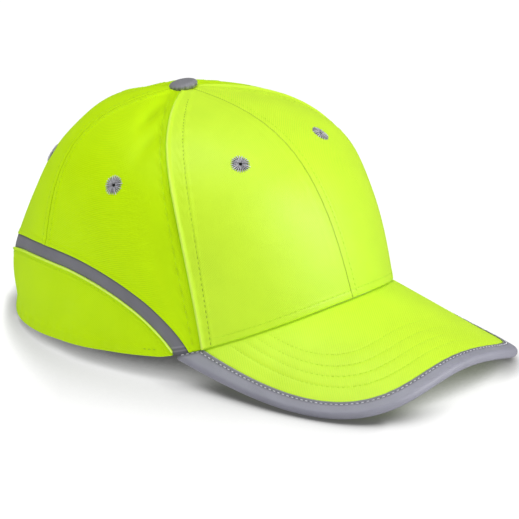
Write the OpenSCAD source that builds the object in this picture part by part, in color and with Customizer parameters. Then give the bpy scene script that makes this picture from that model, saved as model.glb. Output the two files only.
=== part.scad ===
// Bump cap: a six panel fabric cap over a vented impact shell, closed at the back by a strap and a lever buckle.
// Millimetres. The front is -Y, the wearer's left is +X, up is +Z and the table is z = 0.
// Angles run round the crown from the front, and are positive on the wearer's left.
// Climb runs up the crown from 0 at the rim to 1 at the button.

/* [Crown] */
// Length of the head opening, front to back
crown_length = 202; // [194:1:212]
// Width of the head opening, side to side
crown_width = 170; // [162:1:178]
// Height of the top of the crown over the table
crown_height = 116.5; // [110:0.5:124]
// How far the button sits behind the middle of the head opening
apex_setback = 13; // [8:1:18]
// How much higher the rim plane lies at the front than at the back
rim_tilt = 18; // [14:1:20]
// Height over which the front panels stay steep
front_rise = 66; // [58:1:72]
// How far the front panels draw in on the way up
front_draw = 13; // [8:1:18]
// How far the flat top runs to the front
front_reach = 87; // [80:1:94]
// Height over which the sides stay steep
side_rise = 88; // [80:1:92]
// How far the sides draw in on the way up
side_draw = 8; // [4:1:12]
// How far the top runs to the sides
side_reach = 67; // [60:1:74]
// How much the top falls away to the sides
side_drop = 6; // [3:1:9]
// Height over which the back stays steep
rear_rise = 37; // [30:1:44]
// How far the back swells out on the way up
rear_swell = 6; // [2:1:9]
// How far the top runs to the back
rear_reach = 62; // [55:1:68]

/* [Panels and seams] */
// Thickness of the panel fabric with its lining
fabric_thickness = 0.9; // [0.7:0.1:1]
// Space between the edges of two panels at the rim
seam_gap = 0.5; // [0.4:0.1:0.8]
// Angle of the seam between front and side panel at the rim
front_seam_foot = 53; // [51:0.5:55]
// Angle of the same seam at the button
front_seam_top = 65; // [60:1:70]
// How far that seam bows to the rear halfway up, as an angle
front_seam_bow = 3; // [0:0.5:4]
// How far the middle seam of the front bows to the wearer's right halfway up, as an angle
middle_seam_bow = 4; // [0:0.5:5]
// Angle of the seam between side and rear panel at the rim
rear_seam_foot = 110.5; // [106:0.5:114]
// Angle of the same seam at the button
rear_seam_top = 114; // [110:1:118]
// Width of the tape that covers a seam inside
seam_tape_width = 10; // [8:0.5:11]
// Thickness of thin inner tapes and of the front stiffener
lining_thickness = 0.55; // [0.4:0.05:0.6]

/* [Reflective tape] */
// Width of the reflective tape that shows
tape_width = 7.2; // [6:0.1:10]
// Height of the upper edge of the tape over the rim, at its highest
tape_rise = 44; // [40:1:50]
// Angle where the tape leaves the visor corner
tape_start = 56; // [55:0.5:57]
// Angle where the tape is highest
tape_peak = 111; // [106:1:118]
// How much the tape falls again on the way to the back opening
tape_fall = 13.5; // [8:0.5:18]

/* [Visor] */
// How far the visor reaches ahead of the crown
visor_reach = 66; // [58:1:72]
// Width of the visor across its bound edge
visor_width = 150; // [148:0.5:154]
// Squareness of the visor outline, where 2 is an ellipse
visor_squareness = 4; // [3.4:0.1:4.6]
// Height of the visor seam at the middle of the front
visor_seam_height = 33.4; // [33:0.1:38]
// Downward pitch of the visor along its middle line
visor_pitch = 12; // [10:0.5:12.5]
// Radius of the arch of the visor
visor_arch_radius = 105; // [104:1:116]
// Angle of the visor corners round the crown
visor_corner = 61; // [60:0.5:62]
// Thickness of each visor cover
visor_cover = 0.6; // [0.4:0.1:0.8]
// Thickness of the visor board
visor_board_thickness = 1.8; // [1.4:0.1:2.2]
// Width of the bound edge of the visor
binding_width = 8; // [6:0.5:10]
// Thickness of the binding tape
binding_thickness = 0.6; // [0.5:0.1:0.8]

/* [Impact insert] */
// Thickness of the moulded shell
shell_thickness = 2; // [1.6:0.1:2.4]
// Height of the lower edge of the shell over the rim
shell_foot_height = 24; // [22:1:26]
// Thickness of the foam pads
pad_thickness = 5; // [4:0.5:6]
// Height of the sweatband
sweatband_height = 33; // [30:1:35]
// Thickness of the sweatband
sweatband_thickness = 1.6; // [1.2:0.1:2]
// Diameter of a hook and loop dot that holds the shell
dot_diameter = 14; // [10:1:15]

/* [Eyelets and button] */
// Outer diameter of the sewn eyelets
eyelet_diameter = 9.4; // [8:0.2:11]
// Diameter of the vent hole in an eyelet
eyelet_hole = 2.6; // [2:0.2:3]
// Diameter of the covered button
button_diameter = 14.4; // [12:0.2:17]
// Height of the covered button
button_height = 3.4; // [3:0.2:5]

/* [Back closure] */
// Width of the opening at the back
arch_width = 72; // [66:1:76]
// Height of the opening at the back
arch_height = 48; // [46:1:50]
// Width of the strap
strap_width = 20; // [16:1:22]
// Thickness of the strap
strap_thickness = 1.2; // [1:0.1:1.3]
// Angle of the buckle from the middle of the back, to the wearer's left
buckle_angle = 14; // [10:0.5:14.5]
// Length of the buckle along the strap
buckle_length = 18; // [17:0.5:18.5]
// Diameter of the pin of the lever
buckle_pin_diameter = 2; // [1.6:0.1:2.2]

/* [Hidden] */
half_length = crown_length / 2;
half_width = crown_width / 2;
arch_half = arch_width / 2;
arch_corner = 180 - asin(arch_half / half_width);
rim_slope = rim_tilt / crown_length;
gap_angle = seam_gap / 2 / half_width * 57.3;
panel_top = 0.98;
// Depth of each layer under the outer face of the panels
layer_gap = 0.4;
lining_depth = fabric_thickness + layer_gap;
shell_depth = lining_depth + lining_thickness + layer_gap + 0.35;
pad_depth = shell_depth + shell_thickness + layer_gap;
// Visor layers, measured along its normal from the seam line
cover_gap = 0.15;
visor_lift = 0.5;
visor_end = 0.94;
board_top = visor_lift + visor_cover + cover_gap;
under_top = board_top + visor_board_thickness + cover_gap;
visor_bottom = under_top + visor_cover;
board_inset = 1.7 + binding_thickness / 2;
// The strap and the buckle share one upright axis
strap_circle = half_width * half_width / half_length;
strap_axis = half_length - strap_circle;
strap_out = strap_circle - 3.3;
strap_in = strap_out - strap_thickness;
strap_low = 3.5;
strap_high = strap_low + strap_width;
strap_play = 0.3;
// Ends of the strap and of what holds it, as angles from the middle of the back
strap_tail = 55;
strap_tip = 33;
sleeve_far = 57;
sleeve_near = 31;
pocket_near = 32;
pocket_far = 54;
anchor_far = 44;
// The sweatband ends ahead of the sleeve
sweatband_end = 180 - asin(strap_circle * sin(sleeve_far) / half_width) - 4.1;
anchor_thickness = 0.7;
anchor_middle = strap_out + 1.15;
ear = 1;
ear_low = strap_low - strap_play - ear;
ear_high = strap_high + strap_play;
plate_in = strap_in - 2;
pin_radius = buckle_pin_diameter / 2;
knuckle_radius = pin_radius + 0.7;
pin_out = strap_out + 0.2 + knuckle_radius;
pin_along = buckle_length / 2 - 4;
bar_radius = 0.8;
bar_out = strap_out + 2;
bar_along = buckle_length / 2 - 1.4;
loop_middle = bar_radius + 0.2 + anchor_thickness / 2;
loop_out = loop_middle + anchor_thickness / 2;
front_seam = [front_seam_foot, front_seam_top, front_seam_bow];
rear_seam = [rear_seam_foot, rear_seam_top, 0];
middle_front = [0, 0, -middle_seam_bow];
middle_rear = [180, 180, 0];

function unit(v) = v / norm(v);
function mix(a, b, share) = a + (b - a) * share;
function turned(seam) = -seam;
function smooth(t) = let (s = min(max(t, 0), 1)) s * s * (3 - 2 * s);
function steps(grid) = [for (row = grid) each row];

// Crown surface: each upright section is a cubic curve whose handles blend from front to side to rear
function front_share(angle) = pow(max(cos(angle), 0), 2);
function rear_share(angle) = pow(max(-cos(angle), 0), 2);
function blend(angle, front, side, rear) =
    side + (front - side) * front_share(angle) + (rear - side) * rear_share(angle);
function rim_plane_at(y) = rim_slope * (-half_length * cos(arch_corner) - y);
function rim_plane(angle) = rim_plane_at(-half_length * cos(angle));
function crown_z(angle, climb) =
    let (down = 1 - climb)
    let (foot = rim_plane(angle))
    let (rise = blend(angle, front_rise, side_rise, rear_rise))
    let (drop = blend(angle, 0, side_drop, 0))
    pow(down, 3) * foot + 3 * climb * down * down * (rise + foot)
    + 3 * climb * climb * down * (crown_height - drop) + pow(climb, 3) * crown_height;
function crown_spread(angle, climb) =
    let (down = 1 - climb)
    let (lean = blend(angle, -front_draw / half_length, -side_draw / half_width, rear_swell / half_length))
    let (reach = blend(angle, front_reach / half_length, side_reach / half_width, rear_reach / half_length))
    pow(down, 3) + 3 * climb * down * down * (1 + lean) + 3 * climb * climb * down * reach;
function crown_point(angle, climb) =
    let (spread = crown_spread(angle, climb))
    let (set_back = apex_setback * climb * climb * (3 - 2 * climb))
    [
        half_width * sin(angle) * spread,
        set_back - half_length * cos(angle) * spread,
        crown_z(angle, climb)
    ];
function crown_speed(angle, climb) = norm(crown_point(angle + 0.5, climb) - crown_point(angle - 0.5, climb));
function crown_normal(angle, climb) =
    let (along = crown_point(angle + 0.5, climb) - crown_point(angle - 0.5, climb))
    let (up = crown_point(angle, climb + 0.004) - crown_point(angle, max(climb - 0.004, 0)))
    unit(cross(along, up));
function crown_layer(angle, climb, depth) = crown_point(angle, climb) - depth * crown_normal(angle, climb);
function climb_search(angle, height, low, high, left) =
    let (middle = (low + high) / 2)
    left == 0 ? middle
    : crown_z(angle, middle) < height ? climb_search(angle, height, middle, high, left - 1)
    : climb_search(angle, height, low, middle, left - 1);
function climb_at(angle, height) =
    height <= rim_plane(angle) + 0.001 ? 0 : climb_search(angle, height, 0, 0.97, 18);

// Visor surface: an arch of constant radius that pitches down to the front
function visor_z(x, y) =
    visor_seam_height + tan(visor_pitch) * (y + half_length)
    - (visor_arch_radius - sqrt(visor_arch_radius * visor_arch_radius - x * x));
function visor_normal(x, y) =
    unit([x / sqrt(visor_arch_radius * visor_arch_radius - x * x), -tan(visor_pitch), 1]);
function seam_search(angle, low, high, left) =
    let (middle = (low + high) / 2)
    let (p = crown_point(angle, middle))
    left == 0 ? middle
    : p[2] < visor_z(p[0], p[1]) ? seam_search(angle, middle, high, left - 1)
    : seam_search(angle, low, middle, left - 1);
function seam_climb(angle) = seam_search(angle, 0, 0.3, 16);
function visor_seam(part) =
    let (p = crown_point(visor_corner * part, seam_climb(visor_corner * part)))
    [p[0], p[1]] * (1 + 0.4 / half_width);
function visor_edge(part) =
    let (turn = part * atan2(visor_width / 2, half_length * cos(visor_corner)))
    let (wide = pow(abs(sin(turn)) * 2 / visor_width, visor_squareness))
    let (long = pow(abs(cos(turn)) / (half_length + visor_reach), visor_squareness))
    pow(wide + long, -1 / visor_squareness) * [sin(turn), -cos(turn)];
function visor_depth(part) = norm(visor_edge(part) - visor_seam(part));
function visor_point(part, inset, depth) =
    let (seam = visor_seam(part))
    let (edge = visor_edge(part))
    let (plan = edge + (seam - edge) * inset / norm(seam - edge))
    [plan[0], plan[1], visor_z(plan[0], plan[1])] - depth * visor_normal(plan[0], plan[1]);

// Rim line: the visor seam in front, running out into the rim plane behind the visor corners
function rim_z(angle) =
    let (plane = rim_plane(angle))
    let (seam = abs(angle) < visor_corner + 8 ? crown_z(angle, seam_climb(angle)) : 0)
    plane + max(seam - plane, 0) * smooth((visor_corner + 8 - abs(angle)) / 8);

// Reflective tape line and back opening, as heights over the rim plane
function tape_height(angle) =
    let (turn = abs(angle))
    turn <= tape_start ? 0
    : turn < tape_peak ? tape_rise * pow(1 - pow((tape_peak - turn) / (tape_peak - tape_start), 2.4), 0.8)
    : tape_rise - tape_fall * pow((turn - tape_peak) / (arch_corner - tape_peak), 2);
function tape_drop(angle) =
    let (turn = max(abs(angle), tape_start + 2))
    let (slope = (tape_height(turn + 1) - tape_height(turn - 1)) / 2 / crown_speed(turn, 0.1))
    tape_width * sqrt(1 + slope * slope);
function arch_height_at(angle) =
    let (x = half_width * sin(angle) / arch_half)
    abs(angle) > 90 && abs(x) < 1 ? arch_height * sqrt(1 - x * x) : 0;
function arch_angle(height) =
    180 - asin(arch_half * sqrt(1 - pow(min(height, arch_height) / arch_height, 2)) / half_width);
function upper_foot(angle) =
    max(rim_z(angle), rim_plane(angle) + max(tape_height(angle) + seam_gap, arch_height_at(angle)));
function tape_foot(angle) = max(rim_z(angle), rim_plane(angle) + tape_height(angle) - tape_drop(angle));
function bowed(climb) = 4 * climb * (1 - climb);
function seam_angle(seam, climb) = mix(seam[0], seam[1], climb) + seam[2] * bowed(climb);
function seam_foot(seam, angle, left) =
    left == 0 ? angle : seam_foot(seam, seam_angle(seam, climb_at(angle, upper_foot(angle))), left - 1);

// Builds a closed sheet from an outer and an inner grid of points; keep says which cells are solid
module sheet(outer, inner, closed = false, keep = function (i, j) true) {
    across = len(outer[0]);
    columns = closed ? across : across - 1;
    rows = len(outer) - 1;
    back = across * (rows + 1);
    solid = function (i, j) j >= 0 && j < rows && (closed || (i >= 0 && i < columns)) && keep((i + columns) % columns, j);
    at = function (i, j) j * across + i % across;
    quads = [
        for (j = [0 : rows - 1], i = [0 : columns - 1]) if (solid(i, j))
            let (a = at(i, j), b = at(i + 1, j), c = at(i + 1, j + 1), d = at(i, j + 1))
            each [
                [a, d, c, b],
                [a + back, b + back, c + back, d + back],
                if (!solid(i, j - 1)) [a, b, b + back, a + back],
                if (!solid(i + 1, j)) [b, c, c + back, b + back],
                if (!solid(i, j + 1)) [c, d, d + back, c + back],
                if (!solid(i - 1, j)) [d, a, a + back, d + back]
            ]
    ];
    polyhedron(
        concat(steps(outer), steps(inner)),
        [for (q = quads) each [[q[0], q[1], q[2]], [q[0], q[2], q[3]]]],
        convexity = 8
    );
}

// Stands its children on the crown, with their z along the outward normal
module on_crown(angle, climb, depth = 0) {
    normal = crown_normal(angle, climb);
    translate(crown_layer(angle, climb, depth))
        rotate([0, acos(normal[2]), atan2(normal[1], normal[0])])
            children();
}

// Upper panels, cut along two seams
function panel_grid(from, to, depth, columns, rows, inset, top) =
    let (foot_a = seam_foot(from, from[0], 6) + inset)
    let (foot_b = seam_foot(to, to[0], 6) - inset)
    [
        for (j = [0 : rows]) [
            for (i = [0 : columns])
                let (foot = mix(foot_a, foot_b, i / columns))
                let (low = climb_at(foot, upper_foot(foot)))
                let (climb = mix(low, top, j / rows))
                let (head = mix(from[1] + inset, to[1] - inset, i / columns))
                let (bow = mix(from[2], to[2], i / columns))
                let (line = mix(foot - bow * bowed(low), head, (climb - low) / (1 - low)))
                crown_layer(line + bow * bowed(climb), climb, depth)
        ]
    ];
module upper_panel(from, to, columns = 9, rows = 15) {
    sheet(
        panel_grid(from, to, 0, columns, rows, gap_angle, panel_top),
        panel_grid(from, to, fabric_thickness, columns, rows, gap_angle, panel_top)
    );
}

// Eyelet places as angle and depth below the top of the crown, front, side and rear
eyelet_front_left = [24.5, 15.5];
eyelet_front_right = [32, 17.5];
eyelet_side = [83, 29.5];
eyelet_rear = [136, 33.5];
module at_eyelet(place, side) {
    angle = side * place[0];
    on_crown(angle, climb_at(angle, crown_height - place[1])) children();
}
module eyelet_bore(place, side, radius) {
    at_eyelet(place, side) cylinder(h = 8, r = radius, center = true, $fn = 32);
}
panel_bore = eyelet_hole / 2 + 0.8;

module front_panel_left() {
    color([0.80, 0.95, 0.25]) difference() {
        upper_panel(middle_front, front_seam);
        eyelet_bore(eyelet_front_left, 1, panel_bore);
    }
}
module front_panel_right() {
    color([0.80, 0.95, 0.25]) difference() {
        upper_panel(turned(front_seam), middle_front);
        eyelet_bore(eyelet_front_right, -1, panel_bore);
    }
}
module side_panel_left() {
    color([0.78, 0.93, 0.20]) difference() {
        upper_panel(front_seam, rear_seam);
        eyelet_bore(eyelet_side, 1, panel_bore);
    }
}
module side_panel_right() {
    color([0.78, 0.93, 0.20]) difference() {
        upper_panel(turned(rear_seam), turned(front_seam));
        eyelet_bore(eyelet_side, -1, panel_bore);
    }
}
module rear_panel_left() {
    color([0.80, 0.95, 0.25]) difference() {
        upper_panel(rear_seam, middle_rear, 11);
        eyelet_bore(eyelet_rear, 1, panel_bore);
    }
}
module rear_panel_right() {
    color([0.80, 0.95, 0.25]) difference() {
        upper_panel(turned(middle_rear), turned(rear_seam), 11);
        eyelet_bore(eyelet_rear, -1, panel_bore);
    }
}

// Lower panels and reflective tapes run from the visor corner to the back opening
function band_point(angle, height, depth) = crown_layer(angle, climb_at(angle, height), depth);
function lower_grid(side, depth, columns, rows) =
    let (start = visor_corner + 2.2)
    let (stop = arch_angle(tape_foot(arch_corner) - rim_plane(arch_corner)))
    [
        for (j = [0 : rows]) [
            for (i = [0 : columns])
                let (s = side > 0 ? i / columns : 1 - i / columns)
                let (lift = (tape_foot(stop) - rim_plane(stop)) * j / rows)
                let (angle = mix(start, arch_angle(lift) - gap_angle, s))
                let (low = rim_z(angle))
                let (high = max(tape_foot(angle) - seam_gap, low + 0.8))
                let (p = band_point(side * angle, mix(low, high, j / rows), depth))
                j == 0 ? [p[0], p[1], rim_plane_at(p[1]) + low - rim_plane(angle)] : p
        ]
    ];
module lower_panel(side) {
    color([0.76, 0.91, 0.15]) sheet(lower_grid(side, 0, 15, 5), lower_grid(side, fabric_thickness, 15, 5));
}
module lower_panel_left() {
    lower_panel(1);
}
module lower_panel_right() {
    lower_panel(-1);
}
function tape_grid(side, depth, columns, rows) =
    let (start = tape_start + 1.6)
    [
        for (j = [0 : rows]) [
            for (i = [0 : columns])
                let (s = side > 0 ? i / columns : 1 - i / columns)
                let (lift = tape_height(arch_corner) - tape_width * (1 - j / rows))
                let (angle = mix(start, arch_angle(lift) - gap_angle, s))
                let (high = rim_plane(angle) + tape_height(angle))
                let (low = min(tape_foot(angle), high - 0.8))
                band_point(side * angle, mix(low, high, j / rows), depth)
        ]
    ];
module reflective_tape(side) {
    color([0.50, 0.50, 0.54]) sheet(tape_grid(side, 0.2, 22, 2), tape_grid(side, fabric_thickness, 22, 2));
}
module reflective_tape_left() {
    reflective_tape(1);
}
module reflective_tape_right() {
    reflective_tape(-1);
}

// Inner layers of the fabric crown
module front_stiffener(from, to, place, side) {
    grid = function (depth) panel_grid(from, to, depth, 7, 9, 7, 0.75);
    color([0.93, 0.93, 0.90]) difference() {
        sheet(grid(lining_depth), grid(lining_depth + lining_thickness));
        eyelet_bore(place, side, eyelet_diameter / 2);
    }
}
module front_stiffener_left() {
    front_stiffener(middle_front, front_seam, eyelet_front_left, 1);
}
module front_stiffener_right() {
    front_stiffener(turned(front_seam), middle_front, eyelet_front_right, -1);
}
module seam_tape(seam, low, rows = 14) {
    grid = function (depth) [
        for (j = [0 : rows]) [
            for (i = [-1 : 1])
                let (climb = mix(low, 0.925, j / rows))
                let (angle = seam_angle(seam, climb))
                crown_layer(angle + i * seam_tape_width / 2 / crown_speed(angle, climb), climb, depth)
        ]
    ];
    sheet(grid(lining_depth), grid(lining_depth + lining_thickness));
}
// How far a seam tape starts above the edge of the cap
seam_tape_start = 2;
module seam_tapes() {
    front_low = climb_at(0, rim_z(0) + seam_tape_start);
    welt_low = climb_at(front_seam_foot, rim_z(front_seam_foot) + 2 * seam_tape_start);
    side_low = climb_at(rear_seam_foot, upper_foot(rear_seam_foot) + seam_tape_start);
    back_low = climb_at(180, rim_plane(180) + arch_height + facing_edge + facing_width + seam_tape_start);
    color([0.72, 0.86, 0.20]) {
        seam_tape(middle_front, front_low);
        seam_tape(front_seam, welt_low);
        seam_tape(turned(front_seam), welt_low);
        seam_tape(rear_seam, side_low);
        seam_tape(turned(rear_seam), side_low);
        seam_tape(middle_rear, back_low);
    }
}
// The facing lies a little behind the edge of the back opening, and its ends stay clear of the strap's tunnels
facing_edge = 1;
facing_width = 8;
facing_end = 38;
module arch_facing() {
    columns = 20;
    grid = function (depth) [
        for (j = [0 : 2]) [
            for (i = [0 : columns])
                let (turn = mix(facing_end, 180 - facing_end, i / columns))
                let (grow = facing_edge + facing_width * j / 2)
                let (x = (arch_half + grow) * cos(turn))
                let (angle = 180 - asin(x / half_width))
                band_point(angle, rim_plane(angle) + (arch_height + grow) * sin(turn), depth)
        ]
    ];
    color([0.72, 0.86, 0.20]) sheet(grid(lining_depth + 0.2), grid(lining_depth + 0.2 + lining_thickness));
}

// Eyelets and button
module eyelet_ring() {
    inner = eyelet_hole / 2;
    outer = eyelet_diameter / 2;
    under = fabric_thickness + 0.3;
    rotate_extrude($fn = 48) polygon([
        [inner, -under - 0.5],
        [inner + 2, -under - 0.5],
        [inner + 2, -under],
        [inner + 0.4, -under],
        [inner + 0.4, 0.35],
        [outer, 0.35],
        [outer, 0.7],
        [outer - 0.6, 1.15],
        [outer - 1.5, 1.35],
        [inner + 0.7, 1.2],
        [inner, 0.6]
    ]);
}
module eyelets() {
    color([0.48, 0.48, 0.46]) {
        at_eyelet(eyelet_front_left, 1) eyelet_ring();
        at_eyelet(eyelet_front_right, -1) eyelet_ring();
        for (place = [eyelet_side, eyelet_rear], side = [1, -1])
            at_eyelet(place, side) eyelet_ring();
    }
}
module top_button() {
    radius = button_diameter / 2;
    dome = [for (turn = [0 : 10 : 80]) [radius * cos(turn), 1.1 + (button_height - 1.1) * sin(turn)]];
    color([0.48, 0.48, 0.46]) translate([0, apex_setback, crown_height + 0.35]) difference() {
        rotate_extrude($fn = 64) polygon(concat([[0, 0], [radius - 0.7, 0]], dome, [[0, button_height]]));
        translate([0, 0, -1]) cylinder(h = 3, r = 1.55, $fn = 32);
    }
}
module button_stud() {
    color([0.75, 0.76, 0.78]) translate([0, apex_setback, crown_height]) {
        translate([0, 0, -2.3]) cylinder(h = 0.6, r = 5.4, $fn = 48);
        translate([0, 0, -2]) cylinder(h = 4, r = 1.5, $fn = 32);
    }
}

// Visor
visor_columns = 30;
function binding_reach(part) = min(binding_width, visor_depth(part) - 0.4);
function visor_grid(depth, rows) = [
    for (j = [0 : rows]) [
        for (i = [0 : visor_columns])
            let (part = mix(-visor_end, visor_end, i / visor_columns))
            let (reach = binding_reach(part))
            visor_point(part, j == 0 ? board_inset : mix(reach, visor_depth(part), (j - 1) / (rows - 1)), depth)
    ]
];
module visor_layer(top, thickness) {
    sheet(visor_grid(top, 5), visor_grid(top + thickness, 5));
}
module visor_top_cover() {
    color([0.82, 0.96, 0.28]) visor_layer(visor_lift, visor_cover);
}
module visor_board() {
    color([0.92, 0.92, 0.90]) visor_layer(board_top, visor_board_thickness);
}
module visor_under_cover() {
    color([0.78, 0.93, 0.20]) visor_layer(under_top, visor_cover);
}
module visor_binding() {
    top = visor_lift - cover_gap;
    low = visor_bottom + cover_gap;
    wall = binding_thickness;
    outside = [[1, top - wall], [1.5, top - wall], [0, top + 1], [0, low - 1], [1.5, low + wall], [1, low + wall]];
    inside = [[1, top], [1.5 + wall / 2, top], [wall, top + 1], [wall, low - 1], [1.5 + wall / 2, low], [1, low]];
    grid = function (profile) [
        for (j = [0 : 5]) [
            for (i = [0 : visor_columns])
                let (part = mix(-visor_end, visor_end, i / visor_columns))
                visor_point(part, j == 0 || j == 5 ? binding_reach(part) : profile[j][0], profile[j][1])
        ]
    ];
    color([0.58, 0.58, 0.63]) sheet(grid([for (j = [5 : -1 : 0]) outside[j]]), grid([for (j = [5 : -1 : 0]) inside[j]]));
}

// Impact insert
module sweatband() {
    columns = 40;
    lift = [0, 0.38, 0.55, 1];
    sink = [lining_depth + lining_thickness + 0.5, shell_depth + 0.2, pad_depth + 0.3, pad_depth + 0.3];
    grid = function (extra) [
        for (j = [0 : 3]) [
            for (i = [0 : columns])
                let (angle = mix(-sweatband_end, sweatband_end, i / columns))
                band_point(angle, rim_z(angle) + 1 + sweatband_height * lift[j], sink[j] + extra)
        ]
    ];
    color([0.20, 0.21, 0.22]) sheet(grid(0), grid(sweatband_thickness));
}
shell_pairs = 22;
shell_rows = 13;
function shell_foot(angle) =
    rim_z(angle) + shell_foot_height + (arch_height + 14 - shell_foot_height) * smooth((abs(angle) - 112) / 36);
function shell_grid(depth) = [
    for (j = [0 : shell_rows]) [
        for (k = [0 : shell_pairs - 1], part = [0.32, 1])
            let (turn = (k - shell_pairs / 2 + 0.34 + part) * 360 / shell_pairs)
            let (angle = turn > 180 ? turn - 360 : turn)
            let (climb = mix(climb_at(angle, shell_foot(angle)), 0.955, j / shell_rows))
            crown_layer(angle, climb, depth)
    ]
];
module impact_shell() {
    open_at = function (i, j) i % 2 == 1 && (floor(i / 2) % 2 == 0 ? (j > 1 && j < 5) || (j > 7 && j < 10) : j > 4 && j < 8);
    color([0.16, 0.17, 0.18]) sheet(
        shell_grid(shell_depth),
        shell_grid(shell_depth + shell_thickness),
        closed = true,
        keep = function (i, j) !open_at(i, j)
    );
}
// Dot places as angle and depth below the top of the crown, each behind a seam
dot_front = [front_seam_top + 7, 44.5];
dot_rear = [rear_seam_top + 10, 36.5];
dot_depth = lining_depth + 0.85;
dot_thickness = 0.5;
module hook_loop_dots() {
    color([0.12, 0.12, 0.13])
        for (place = [dot_front, dot_rear], side = [1, -1])
            on_crown(side * place[0], climb_at(place[0], crown_height - place[1]), dot_depth)
                cylinder(h = dot_thickness, d = dot_diameter, $fn = 48);
}
// A pad lies on the shell, and its inner face swells to full thickness away from its drawn-in edges
function pad_swell(s) = 1 - pow(abs(2 * s - 1), 3);
module pad(middle, spread, low, high, columns = 9, rows = 8) {
    grid = function (face) [
        for (j = [0 : rows]) [
            for (i = [0 : columns])
                let (t = j / rows)
                let (s = i / columns)
                let (angle = middle + spread * (2 * s - 1) * (1 - 0.22 * pow(abs(2 * t - 1), 3)))
                let (round_off = 0.10 * pow(abs(2 * s - 1), 3) * (1 - 2 * t))
                let (climb = mix(low, high, t + round_off))
                let (thick = pad_thickness * (0.35 + 0.65 * sqrt(pad_swell(s) * pad_swell(t))))
                crown_layer(angle, climb, pad_depth + 0.2 + face * thick)
        ]
    ];
    color([0.10, 0.10, 0.11]) sheet(grid(0), grid(1));
}
pad_low_front = climb_at(0, rim_z(0) + sweatband_height + 5);
pad_low_side = climb_at(85, rim_z(85) + sweatband_height + 5);
pad_low_rear = climb_at(180, shell_foot(180) + 3);
module front_pad() {
    pad(0, 40, pad_low_front, 0.66, 11, 7);
}
module side_pad_left() {
    pad(87, 34, pad_low_side, 0.60);
}
module side_pad_right() {
    pad(-87, 34, pad_low_side, 0.60);
}
module rear_pad() {
    pad(180, 42, pad_low_rear, 0.72, 11, 6);
}
module crown_pad() {
    columns = 24;
    rows = 6;
    grid = function (face) [
        for (j = [0 : rows]) [
            for (i = [0 : columns - 1])
                let (climb = mix(0.77, 0.94, j / rows))
                let (thick = pad_thickness * (0.35 + 0.65 * sqrt(pad_swell(j / rows))))
                crown_layer(i * 360 / columns, climb, pad_depth + 0.2 + face * thick)
        ]
    ];
    color([0.10, 0.10, 0.11]) sheet(grid(0), grid(1), closed = true);
}

// Back closure, with angles from the middle of the back to the wearer's left
module arc_band(near, far, low, high, from, to) {
    translate([0, strap_axis, 0]) rotate([0, 0, 90 - to]) rotate_extrude(angle = to - from, $fn = 240)
        translate([near, low]) square([far - near, high - low]);
}
module at_buckle() {
    translate([0, strap_axis, 0]) rotate([0, 0, 90 - buckle_angle]) children();
}
module free_strap() {
    color([0.74, 0.90, 0.12]) arc_band(strap_in, strap_out, strap_low, strap_high, -strap_tail, strap_tip);
}
module strap_tunnel(from, to, wall) {
    difference() {
        arc_band(strap_in - 0.8, strap_out + 0.3 + wall, strap_low - 0.7, strap_high + 0.7, from, to);
        arc_band(strap_in - 0.3, strap_out + 0.3, strap_low - 0.3, strap_high + 0.3, from - 1, to + 1);
    }
}
module strap_sleeve() {
    color([0.70, 0.85, 0.16]) strap_tunnel(-sleeve_far, -sleeve_near, 1);
}
module tuck_pocket() {
    color([0.70, 0.85, 0.16]) strap_tunnel(pocket_near, pocket_far, 0.3);
}
// The anchor strap is one ribbon: round the bar of the buckle, then in behind the left lower panel
function anchor_line() =
    let (leave = [bar_out + loop_middle * cos(65), bar_along + loop_middle * sin(65)])
    let (start = atan2(leave[1], leave[0]))
    concat(
        [for (turn = [235 : -25 : -65]) [bar_out + loop_middle * cos(turn), loop_middle * sin(turn) - bar_along]],
        [
            for (k = [1 : 12])
                let (turn = mix(start, anchor_far - buckle_angle, k / 12))
                anchor_middle * [cos(turn), -sin(turn)]
        ]
    );
module anchor_strap() {
    line = anchor_line();
    last = len(line) - 1;
    grid = function (offset) [
        for (z = [strap_low, strap_high]) [
            for (i = [0 : last])
                let (along = unit(line[min(i + 1, last)] - line[max(i - 1, 0)]))
                let (p = line[i] + offset * [along[1], -along[0]])
                [p[0], p[1], z]
        ]
    ];
    color([0.74, 0.90, 0.12]) at_buckle() sheet(grid(anchor_thickness / 2), grid(-anchor_thickness / 2));
}
module buckle_frame() {
    half = buckle_length / 2;
    color([0.72, 0.73, 0.75]) at_buckle() difference() {
        union() {
            translate([plate_in, -half, ear_low]) cube([1, buckle_length, ear_high + ear - ear_low]);
            for (z = [ear_low, ear_high])
                translate([plate_in, -half, z]) cube([pin_out + 1.6 - plate_in, buckle_length, ear]);
            translate([bar_out, -bar_along, ear_low]) cylinder(h = ear_high + ear - ear_low, r = bar_radius, $fn = 32);
        }
        translate([pin_out, pin_along, 0]) cylinder(h = 60, r = pin_radius + 0.01, $fn = 32);
    }
}
module buckle_pin() {
    reach = ear_high + ear - ear_low;
    color([0.62, 0.63, 0.65]) at_buckle() translate([pin_out, pin_along, ear_low]) {
        cylinder(h = reach, r = pin_radius, $fn = 32);
        translate([0, 0, -0.55]) cylinder(h = 0.5, r = pin_radius + 0.5, $fn = 32);
        translate([0, 0, -0.2]) cylinder(h = 0.4, r = pin_radius, $fn = 32);
        translate([0, 0, reach - 0.2]) cylinder(h = 0.4, r = pin_radius, $fn = 32);
        translate([0, 0, reach + 0.05]) cylinder(h = 0.5, r = pin_radius + 0.5, $fn = 32);
    }
}
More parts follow.
